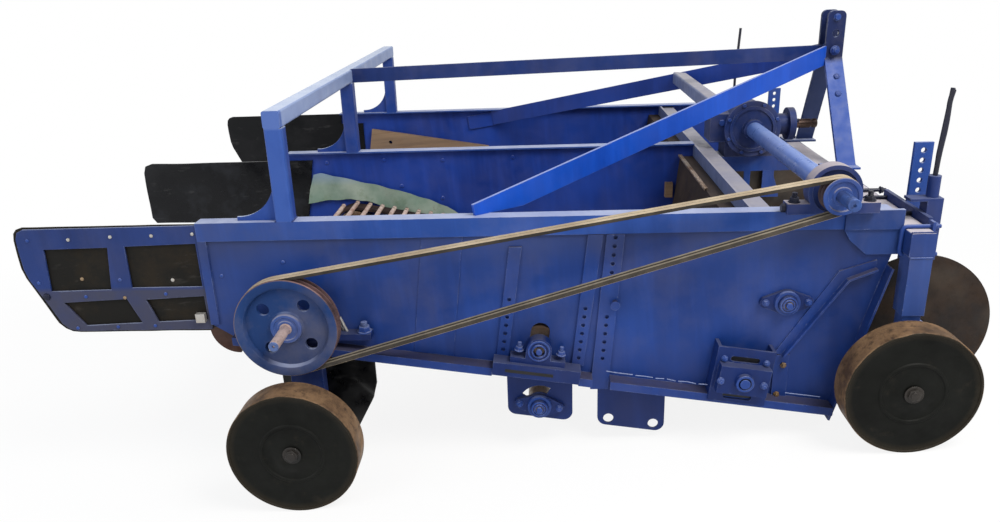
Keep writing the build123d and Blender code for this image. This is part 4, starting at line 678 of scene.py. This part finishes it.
def build_belt_drive():
    path = belt_path(REAR_SHAFT, DRIVE, BIG_PULLEY, SMALL_PULLEY, steps=28, run=14)
    belts = Shape()
    for centre in (PULLEY_Y - HALF_BELT_PITCH, PULLEY_Y + HALF_BELT_PITCH):
        points = ((-7, 0.4), (7, 0.4), (8, -0.8), (5, -11), (-5, -11), (-8, -0.8))
        belts.band(path, [(centre + y, out) for y, out in points], looks=(0, 0, 1, 2, 1, 0))
    belts.make("belts", "black_rubber", BELT_BACK, also=(BELT_SIDE, BELT_INSIDE), replaces=("v_belts",))

    x, z = REAR_SHAFT
    centre, body = (x, PULLEY_Y, z), "rear_drive_shaft"
    profile = [(124, -22), (150, -23), (BIG_PULLEY, -21), *grooves(BIG_PULLEY), (BIG_PULLEY, 21), (150.5, 23),
               (131, 23), (126, 20), (121, 8), (121, -8)]
    rim = Shape().hollow(profile, centre, OUT, 96)
    rim = rim.make("big_pulley_rim", "cast_grey", PULLEY_CAST, 0.8, body, replaces=(body,), also=(PULLEY_BAND,))
    repaint(rim, lambda p: math.hypot(p.x - x, p.z - z) > 146 and abs(p.y - PULLEY_Y) < 22.5)
    holes = [circle(x, z, 44.5, 40)]
    for turn in range(4):
        angle = math.radians(50 + 90 * turn)
        holes.append(circle(x + 86 * math.cos(angle), z + 86 * math.sin(angle), 18.5, 28))
    web = Shape().plate(circle(x, z, 124, 72), PULLEY_Y - 6, PULLEY_Y + 6, holes)
    web.hollow([(45.5, -14), (50, -7), (60, -5), (60, 5), (50, 7), (45.5, 14)], centre, OUT, 56)
    web.make("big_pulley_web", "cast_grey", PULLEY_CAST, 0.8, body)
    profile = [(17.6, -23), (43, -23), (45, -21), (45.6, 21), (43, 23), (36, 23), (34, 20.5), (26, 20.5), (24, 22),
               (17.6, 22)]
    Shape().hollow(profile, centre, OUT, 56).make("big_pulley_hub", "cast_grey", PULLEY_HUB, 0.6, body)
    end = PULLEY_Y - 140
    length = 996 - end
    profile = [(3, 5), (4.5, 0.5), (13.2, 0), (14.8, 1.8), (14.8, 116), (SHAFT_RADIUS, 117),
               (SHAFT_RADIUS, length - 2), (15.5, length)]
    shaft = Shape().turned(profile, (x, end, z), (0, 1, 0), 40)
    shaft = shaft.make("rear_shaft", "bare_steel", STUB_STEEL, body=body, also=(STUB_FACE,))
    repaint(shaft, lambda p: p.y < end + 4)
    drums = Shape()
    for side in (-1, 1):
        for y in (LANE_INNER, LANE_OUTER - WEB_BELT_WIDTH):
            profile = [(17.6, 0), (62, 0), (70, 3), (70, 57), (62, 60), (17.6, 60)]
            drums.hollow(profile, (x, side * y, z), (0, side, 0), 36)
    drums.make("web_drums", "bare_steel", WORN_STEEL, 0.8, body)

    x, z = DRIVE
    body = "drive_pulley"
    profile = [(17.6, -23), (50.5, -23), (SMALL_PULLEY, -21.5), *grooves(SMALL_PULLEY), (SMALL_PULLEY, 21.5),
               (50.5, 23), (42, 23), (39, 19), (27, 18), (25, 22), (17.6, 22)]
    pulley = Shape().hollow(profile, (x, PULLEY_Y, z), OUT, 64)
    pulley = pulley.make("small_pulley", "cast_grey", PULLEY_HUB, 0.6, body, replaces=(body,), also=(PULLEY_BAND,))
    repaint(pulley, lambda p: math.hypot(p.x - x, p.z - z) > 45 and abs(p.y - PULLEY_Y) < 21)
    end = PULLEY_Y - 108
    profile = [(3, 5), (4.5, 0.5), (15.8, 0), (SHAFT_RADIUS, 1.8), (SHAFT_RADIUS, -892 - end)]
    stub = Shape().turned(profile, (x, end, z), (0, 1, 0), 40)
    stub.box(x - 2.6, x + 2.6, end + 20, end + 80, z + 15, z + 18.2)
    stub.make("drive_stub", "bare_steel", STUB_BLUE, body=body)


# Input shaft with splines


def build_input():
    outline = []
    for tooth in range(6):
        for share, radius in ((0.0, 14.4), (0.2, 14.4), (0.24, 17.3), (0.5, 17.45), (0.76, 17.3), (0.8, 14.4)):
            angle = 2 * math.pi * (tooth + share) / 6
            outline.append((radius * math.cos(angle), radius * math.sin(angle)))
    height = DRIVE[1]
    place = Matrix.Translation((0, 0, height)) @ Matrix.Rotation(math.radians(-90), 4, "Z")
    splines = Shape().plate(outline, 1981.0, 2046.0, matrix=place)
    splines.plate(outline, 2054.0, 2070.0, matrix=place)
    splines.rod((1942, 0, height), (2060, 0, height), 14.0, 32)
    splines.rod((2066, 0, height), (2072.2, 0, height), 14.3, 32, 2)
    splines.make("input_splines", "bare_steel", SPLINE_STEEL, 0.4, "pto_shaft", replaces=("pto_shaft",))


# Wheels with their axles and legs


WHEELS = (("front", FRONT_WHEEL, FRONT_WHEEL_FACE, -999.0), ("rear", REAR_WHEEL, REAR_WHEEL_FACE, -970.0))


def build_wheels():
    tyre = [(190, 2.2), (190, 83.8), (188, 86), (184, 86), (181.4, 83), (181.4, 13), (181.4, 2.2), (183, 0.3),
            (188, 0)]
    disc = [(19.6, 3.6), (58, 3.4), (62, 5.6), (84, 5.6), (87, 2.4), (93, 2.4), (97, 5.6), (128, 5.6), (132, 6.2),
            (176, 5.0), (181.6, 3.4), (181.6, 12), (19.6, 12)]
    hub = [(19.6, 11), (42, 11), (42, 76), (40, 78), (19.6, 78)]
    collar = [(44, 11), (54, 11), (42.5, 21)]
    for place, (x, z), face, axle_end in WHEELS:
        for side, name in ((1, "right"), (-1, "left")):
            wheel = Shape()
            for profile, segments in ((tyre, 112), (disc, 96), (hub, 48), (collar, 48)):
                wheel.hollow(profile, (x, side * face, z), (0, side, 0), segments)
            body = "wheel_%s_%s" % (place, name)
            wheel.make(body + "_steel", "bare_steel", WHEEL_LOOKS[place], 0.8, body, replaces=(body,))
    for place, (x, z), face, axle_end in WHEELS:
        axle = Shape().rod((x, face + 4, z), (x, axle_end, z), 19.0, 36)
        axle.rod((x, face - 0.2, z), (x, face - 2.6, z), 27, 40, 0.8)
        axle.hexagon((x, face - 2.6, z), OUT, 34, 6.4, 0.3)
        axle.rod((x, face - 9, z), (x, face - 12, z), 12.5, 24, 1)
        leg = Shape()
        if place == "front":
            low, high = TOOLBAR_X + 4, TOOLBAR_X + 66
            middle = TOOLBAR_BOTTOM - 175
            for start, end, inset in ((TOOLBAR_BOTTOM, middle, 0), (middle, z - 34, 6)):
                outline = [(low + inset, start), (high - inset, start), (high - inset, end), (low + inset, end)]
                leg.plate(outline, -1012 + inset, -950 - inset)
            leg.weld((low, -1012, TOOLBAR_BOTTOM - 1), (high, -1012, TOOLBAR_BOTTOM - 1), 3)
            look, bevel = LEG_BLUE, 4
        else:
            leg.plate([(x - 50, -358), (x + 50, -358), (x + 50, z - 14), (x + 30, z - 34), (x - 30, z - 34),
                       (x - 50, z - 14)], -984, -944.2)
            leg.hollow([(19, 0), (34, 0), (30, 30), (19, 30)], (x, -984, z), OUT, 36)
            look, bevel = BLUE_DARK, 2
        leg.both_sides().make(place + "_legs", "blue_paint", look, bevel,
                              replaces=("wheel_leg_%s_right" % place, "wheel_leg_%s_left" % place))
        axle.both_sides().make(place + "_axles", "bare_steel", AXLE_STEEL, 0.5)


# Rubber wings, sheet, skirts and curtains


def ripple(x, z, size, seed):
    """A soft uneven wave."""
    broad = math.sin(x / 71.0 + seed) * math.cos(z / 83.0 + 2 * seed)
    return size * (0.6 * broad + 0.4 * math.sin((x + z) / 39.0 + 3 * seed))


def freed(distance, reach):
    """How far a hanging edge is free to move: zero where it is held, one beyond the reach."""
    return min(1.0, max(0.0, distance / reach))


def wing_outline(length):
    """The outline of a rear wing pad: its rounded free end, and a notch for the pan behind the wall."""
    far = [(32, 0), (14, -6), (4, -18), (0, -40), (1, -80), (4, -128), (12, -160), (26, -190), (54, -250), (80, -307),
           (98, -326), (118, -336), (145, -339)]
    return [(0, 0), *((x - length, z) for x, z in far), (0, -339), (0, -274), (110, -220), (110, -50), (0, -50)]


def build_rubber():
    for side, name, length in ((-1, "right", 561), (1, "left", 593)):
        near, far = (-937.9, -930.5) if side < 0 else (930.5, 937.9)
        pad = Shape().plate(wing_outline(length), near, far)
        pad.sliced(24)

        def press(p, side=side):
            wave = ripple(p.x, p.z, 3.0 * freed(-p.x, 140.0), 0.7 if side > 0 else 0.2)
            return (0, -side * abs(wave), 0)
        pad.bend(press)
        pad.make("wing_pad_" + name, "black_rubber", PAD_RUBBER if side < 0 else RUBBER, 1.2,
                 replaces=("wing_rubbers",) if side < 0 else ())
    centre = Shape().plate([(98, -26), (-564, -26), (-592, -36), (-600, -62), (-600, -252), (-584, -275), (56, -275)],
                           -11, -3.1)
    centre.sliced(24)

    def sway(p):
        free = freed(-p.x, 600.0)
        return (0, -6 * free * math.sin(-p.x / 190.0) + ripple(p.x, p.z, 7 * free, 1.3) + 4 * free, 0)
    centre.bend(sway)
    centre.make("centre_wing", "black_rubber", RUBBER_SMEARED, bevel=1.2)

    low = floor_z(487)
    skirt = Shape().plate([(191, floor_z(191) + 26), (487, low + 26), (487, low - 102), (470, low - 160),
                           (418, low - 256), (404, low - 260), (191, low - 260)], -937.8, -931)
    skirt.sliced(16)

    def hang(p):
        free = freed(floor_z(p.x) - 10 - p.z, 160.0)
        crease = 9 * math.exp(-((p.x - 350 + (p.z + 470) * 1.05) / 12.0) ** 2)
        return (0, free * (5 * math.sin(p.x / 34.0 + p.z / 120.0) + crease) + 5 * free, 0)
    skirt.bend(hang)
    skirt.both_sides().make("skirts", "black_rubber", SKIRT_RUBBER, bevel=0.8, replaces=("side_skirts",))

    curtain = Shape().plate([(1557, -47), (1565, -47), (1535, -297), (1527, -297)], -937, -4)
    curtain.sliced(28, "yz")

    def fold(p):
        free = freed(-60 - p.z, 220.0)
        return (free * (7 * math.sin(p.y / 47.0) + 3 * math.sin(p.y / 19.0 + p.z / 40.0)), 0,
                free * free * 5 * math.sin(p.y / 90.0))
    curtain.bend(fold)
    curtain.box(1565, 1605.5, -937.5, -3.4, -60.5, -47.2)
    curtain.both_sides().make("curtains", "black_rubber", SOILED_RUBBER, bevel=0.6, replaces=("lane_curtains",))

    outline = [(97, -83), (78, -140), (66, -200), (96, -196), (150, -190), (227, -187), (307, -194), (390, -228),
               (476, -262), (580, -276), (683, -261), (660, -243), (629, -225), (555, -196), (483, -169), (380, -140),
               (281, -116), (200, -94), (126, -79)]
    cloth = Shape().plate(outline, -10.5, -9.2)
    cloth.sliced(10)

    def drape(p):
        low = (p.z + 80) / -190.0
        sag = 4 * math.sin(p.x / 31.0 + p.z / 45.0) + 2.5 * math.sin(p.x / 13.0 - p.z / 23.0)
        return (0, -5 - 18 * max(0.0, low) ** 2 + sag * (0.4 + 0.6 * low), 1.5 * math.sin(p.x / 17.0))
    cloth.bend(drape)
    cloth = cloth.make("lane_cloth", "green_sheet", CLOTH, replaces=("lane_sheet",), smooth=60)


def build_wing_frames():
    outline = [(0, -2), (-522, -4), (-540, -13), (-548, -34), (-548, -70), (-545, -128), (-536, -162), (-522, -190),
               (-492, -250), (-466, -307), (-446, -326), (-420, -332), (0, -332)]
    windows = [[(-471, -67), (-276, -64), (-290, -198), (-477, -201)],
               [(-224, -62), (-9, -57), (-9, -193), (-226, -193)],
               [(-446, -238), (-248, -229), (-214, -308), (-391, -315)],
               [(-190, -232), (-9, -223), (-9, -301), (-163, -306)]]
    plate = Shape().plate(outline, -WALL_FACE, -938.1, windows)
    plate.both_sides().make("wing_frame_plates", "blue_paint", WING_BLUE, bevel=1.2, replaces=("wing_frames",))


def build_mast():
    mast, half, corner, top = Shape(), 32.5, 20.0, 485
    bolt_height, hole_height = 345, 462
    for side in (-1, 1):
        outline = [(MAST_X - half, 312), (MAST_X + half, 312)]
        for centre, start in ((MAST_X + half - corner, 0), (MAST_X - half + corner, 90)):
            for step in range(7):
                angle = math.radians(start + 15 * step)
                outline.append((centre + corner * math.cos(angle), top - corner + corner * math.sin(angle)))
        holes = [circle(MAST_X, height, 12.75, 28) for height in (hole_height, 405)]
        mast.plate(outline, side * 28, side * 42, holes)
        start, end = Vector((MAST_X, side * 35, 317)), Vector((MAST_X + 14, side * MAST_FOOT_Y, -45))
        down = (end - start).normalized()
        across = (Vector((1, 0, 0)) - down * down.x).normalized()
        turn = Matrix((across, down.cross(across), down)).transposed().to_4x4()
        mast.box(-half, half, -7, 7, 0, (end - start).length, Matrix.Translation(start) @ turn)
        mast.box(2023, 2147, side * MAST_FOOT_Y - 40, side * MAST_FOOT_Y + 40, -47, -39)
    mast.make("mast_plates", "blue_paint", MAST_BLUE, bevel=1.6, replaces=("hitch_mast",))
    bolt = Shape().rod((MAST_X, -56, bolt_height), (MAST_X, 56, bolt_height), 12, 28)
    bolt.rod((MAST_X, -43, hole_height), (MAST_X, 43, hole_height), 12, 28)
    for side in (-1, 1):
        bolt.bolt((MAST_X, side * 50, bolt_height), (0, side, 0), 16, 0.4)
        bolt.bolt((MAST_X, side * 42, hole_height), (0, side, 0), 12, 0)
    bolt.make("mast_bolts", "bare_steel", BOLT_BLUE, 0.4)


# Bolts, nuts, studs and welds

LOWER_EARS = ((930.6, -593.2), (1051.4, -610.8))
FRONT_EARS = ((1653, -268), (1775, -268))
WALL_DOMES = ((385, -33), (621, -39), (900, -34), (449, -141), (612, -195), (154, -39))
FAR_DOMES = ((683, -50), (739, -41))


def build_fasteners():
    bright, blue, dark, brass = Shape(), Shape(), Shape(), Shape()
    blue_right, dark_right, black = Shape(), Shape(), Shape()
    bright.domes(((-388, -37), (-260, -31), (-136, -30), (-13, -27), (-253, -224)), -WALL_FACE, 5.5, 3)
    bright.domes(((-377, -164), (-99, -172)), -936.5, 6, 3.5)
    bright.box(-40, -12, -960, -WALL_FACE, -304, -276)
    blue.domes(((-513, -38), (-509, -172), (-257, -166), (-373, -219), (-125, -214), (-420, -322), (-293, -320),
                (-176, -318), (55, -159), (245, -119)), -WALL_FACE, 5.5, 3)
    dark.dome((-494, -WALL_FACE, -217), OUT, 11, 6)

    for x, z in ((933, -407), (1058, -425)):
        blue.bolt((x, -974, z + 6), (0.146, 0, 0.989), 13, 1.1)
    middle = (WEB_IDLER[0], -992, WEB_IDLER[1])
    blue.rings(middle, ((28, 34, 2.5), (17, 22, 5)))
    blue.rod(middle, (middle[0], -1003, middle[2]), 9, 28, 1.5)
    for place in (FRONT_ROLLER, LOWER_ROLLER):
        centre = (place[0], -978, place[1])
        blue.rings(centre, ((20, 25, 1.5), (12.5, 17, 3.5)))
        blue.rings((place[0], EAR_FACE, place[1]), ((27.2, 37, 10),))
        blue.rod(centre, (centre[0], -989, centre[2]), 9.5, 28, 1.5)
    blue.bolts(((1536, -425), (1659, -443)), -998, 9, 0.3)
    blue.bolts(((1521, -481), (1646, -499)), -1030, 10, 0.4)
    nose = (WEB_NOSE[0], -1042, WEB_NOSE[1])
    blue.rings(nose, ((19, 26, 2),))
    blue.rod(nose, (nose[0], -1046, nose[2]), 15, 28, 1)
    brass.bolts(((1722, -474), (1709, -572)), -WALL_FACE, 11, 0.5)
    blue.bolts(LOWER_EARS + FRONT_EARS, EAR_FACE, 10, 0.4)

    bright.rod((387, -950, -295), (414, -950, -360), 4.5, 16, 1)
    bright.rod((399, -958, -292), (424, -958, -358), 4.5, 16, 1)
    blue.bolt((472, -965, -338), (0, 0, 1), 20, 0.7)
    for x in (1706, 1912):
        dark_right.bolt((x, -961, 36), (0, 0, 1), 15, 0.9)
    dark_right.hexagon((1683, -962, 20), (-1, 0, 0), 22, 12, 0.2)

    for turn in range(8):
        angle = math.radians(22.5 + 45 * turn)
        place = (DRIVE[0] + 95 * math.cos(angle), -89, DRIVE[1] + 95 * math.sin(angle))
        blue_right.hexagon(place, OUT, 13, 7, random.uniform(0, 1))
        if turn % 2:
            dark_right.hexagon((1980, 51 * math.cos(angle), DRIVE[1] + 51 * math.sin(angle)), (1, 0, 0), 15, 9, 0.3)
    blue_right.hexagon((1700, -55, 90), OUT, 22, 9, 0.2)
    for level in (45, -76):
        black.box(-43, 43, -991.6, -989, level, level + 21, matrix=on_floor(*WEB_NOSE))
    black.box(-82, 62, -1006.7, -1004, -5, 5, matrix=on_floor(972, -464))
    black.both_sides().make("slot_shadows", "black_rubber", SKIRT_RUBBER)
    blue_right.make("gearbox_bolts", "blue_paint", BOLT_BLUE, 0.4)
    dark_right.make("housing_bolts", "bare_steel", NAVY_STEEL, 0.4)
    for level in (252, 194):
        blue.dome((2101, -35 - (319 - level) * 0.5833 - 6, level + 3.5), (0, -0.864, 0.504), 11, 6)

    for y, front in ((-580, 2097), (-665, 2097), (-838, 2097), (-964, 2093)):
        points = [(front + 19, y, -41), (2009, y, -41), (2009, y, -123), (front + 19, y, -123)]
        clamp = blue if front < 2097 else dark
        clamp.bent_rod(points, 6, corner=14)
        for level in (-41, -123):
            clamp.bolt((front, y, level), (1, 0, 0), 11, 0)
    blue.box(2085, 2093, -977, -951, -138, -26)

    inner = Shape()
    inner.domes(WALL_DOMES, -3, 8, 4)
    inner.domes(FAR_DOMES, 936, 9, 5)
    inner.make("inner_bolts", "blue_paint", BLUE_INNER)
    blue.both_sides().make("painted_bolts", "blue_paint", BOLT_BLUE, 0.4)
    bright.both_sides().make("bright_bolts", "bare_steel", ZINC, 0.4)
    dark.both_sides().make("dark_bolts", "bare_steel", NAVY_STEEL, 0.4)
    brass.both_sides().make("brass_bolts", "bare_steel", BRASS, 0.4)


def build_welds():
    def seam(x):
        return (x, FLANGE_EDGE, -468 - (x - 1200) * 0.163 + 1.6 * math.sin(x / 9.0))
    beads, x, bead = Shape(), 1192.0, 26
    while x < 1500:
        beads.weld(seam(x), seam(x + bead), 1.7, 4)
        x += random.choice((bead, bead, 34))
    beads.weld((1722, FLANGE_EDGE, -545), (1826, FLANGE_EDGE, -560), 1.6, 4)
    beads.make("flange_welds", "blue_paint", WELD_PALE)
    welds = Shape()
    # Across the rail at the portal's post; the second start leaves a single lump at the bead's end
    for x in (240, 290):
        for y in (-950, -900):
            welds.weld((x, y, RAIL_TOP), (x, -899.99, RAIL_TOP), 3)
    for side in (-1, 1):
        for x, step in ((2072, 12), (2120, -12)):
            welds.weld((x, side * MAST_FOOT_Y, -44), (x + step, side * MAST_FOOT_Y, -44), 4)
    welds.weld((1657, -56, 18), (1800, -56, 18), 3)
    welds.weld((2016, -1006, -46), (2084, -1006, -46), 3)
    welds.make("joint_welds", "blue_paint", BLUE_DARK)


def build_small_parts():
    rods = Shape()
    points = ((2117, 84), (2119, 140), (2126.5, 222), (2126, 290), (2131, 317))
    rods.bent_rod([(x, CRANK_Y, z) for x, z in points], 6.8, corner=30)
    rods.dome((2131, CRANK_Y, 316.5), (0.3, 0, 1), 6.7, 6)
    rods.make("crank_rods", "bare_steel", NAVY_STEEL)
    chain = Shape()
    y = -14.0
    while y > -520:
        chain.rod((1548, y, -42), (1562, y, -42), 4.2, 12)
        start = 1549 if int(y) % 2 else 1551
        chain.box(start, start + 3, y - 12, y, -46, -38)
        chain.box(1558, 1560, y - 12, y, -46, -38)
        y -= 12.7
    chain.make("curtain_chain", "bare_steel", WORN_STEEL)


build_webs()
build_belt_drive()
build_input()
build_wheels()
build_rubber()
build_wing_frames()
build_mast()
build_fasteners()
build_welds()
build_small_parts()


# Camera, lights and floor

CAMERA_PLACE = Vector((1002.9, -3145.8, 675.1))
CAMERA_YAW, CAMERA_PITCH, CAMERA_ROLL = 0.0537, -0.3493, -0.0366
FOCAL_PIXELS, IMAGE_WIDTH, SENSOR = 806.8, 1000.0, 36.0
FLOOR_HALF = 60.0


def add_camera():
    """The camera of the photo, worked out from the machine's straight edges."""
    flat = math.cos(CAMERA_PITCH)
    ahead = Vector((-math.sin(CAMERA_YAW) * flat, math.cos(CAMERA_YAW) * flat, math.sin(CAMERA_PITCH)))
    level_right = Vector((math.cos(CAMERA_YAW), math.sin(CAMERA_YAW), 0))
    level_up = level_right.cross(ahead)
    right = level_right * math.cos(CAMERA_ROLL) + level_up * math.sin(CAMERA_ROLL)
    up = level_up * math.cos(CAMERA_ROLL) - level_right * math.sin(CAMERA_ROLL)
    turn = Matrix((right, up, -ahead)).transposed().to_4x4()
    data = bpy.data.cameras.new("photo_camera")
    data.sensor_width, data.lens = SENSOR, FOCAL_PIXELS * SENSOR / IMAGE_WIDTH
    data.clip_start, data.clip_end = 0.05, 200
    camera = placed("photo_camera", data)
    camera.matrix_world = Matrix.Translation(LEVEL @ CAMERA_PLACE) @ TILT @ turn
    bpy.context.scene.camera = camera


def add_light(name, place, target, size, power, colour):
    data = bpy.data.lights.new(name, "AREA")
    data.shape, data.size, data.energy, data.color = "SQUARE", size, power, colour
    lamp = placed(name, data)
    lamp.location = place
    lamp.rotation_euler = (Vector(target) - Vector(place)).to_track_quat("-Z", "Y").to_euler()


def seen(n):
    """One for rays straight from the camera or by way of gloss or glass, zero for light on its way to things."""
    rays = n.node("LightPath").outputs
    shown = n.math("MAXIMUM", rays["Is Camera Ray"], rays["Is Glossy Ray"])
    return n.math("MAXIMUM", shown, rays["Is Transmission Ray"])


def add_floor():
    """A floor that takes soft shadows near the machine and shows as plain white further out."""
    mesh = bpy.data.meshes.new("floor")
    corners = [(x * FLOOR_HALF, y * FLOOR_HALF, 0) for x, y in ((-1, -1), (1, -1), (1, 1), (-1, 1))]
    mesh.from_pydata(corners, [], [(0, 1, 2, 3)])
    n = Nodes("pale_floor")
    n.fill(n.shader, {"Base Color": (0.82, 0.82, 0.82, 1), "Roughness": 0.9})
    glow = n.node("Emission", {"Color": (1, 1, 1, 1)})
    reach = n.node("VectorMath", {0: n.coordinates()}, operation="LENGTH").outputs["Value"]
    share = n.math("MULTIPLY", seen(n), n.ramp(reach, 1.6, 3.6, 0.86, 1.0))
    n.blend(share, n.shader, glow, "Material Output")
    mesh.materials.append(n.owner)
    placed("floor", mesh)


def light_world():
    """A soft sky for the light, seen as plain white."""
    world = bpy.data.worlds.new("pale_world")
    bpy.context.scene.world = world
    n = Nodes(world)
    sky = n.tree.nodes["Background"]
    n.fill(sky, {"Color": (0.93, 0.96, 1.0, 1), "Strength": 0.62})
    n.blend(seen(n), sky, n.node("Background", {"Color": (1, 1, 1, 1)}), "World Output")


add_camera()
add_light("key", place=(2.6, -2.6, 4.2), target=(0.1, 0, 0.4), size=2.2, power=230, colour=(1.0, 0.97, 0.92))
add_light("fill", place=(-3.5, -3.0, 2.4), target=(0, 0, 0.4), size=3.0, power=60, colour=(0.93, 0.96, 1.0))
add_floor()
light_world()
bpy.context.scene.view_settings.view_transform = "Standard"
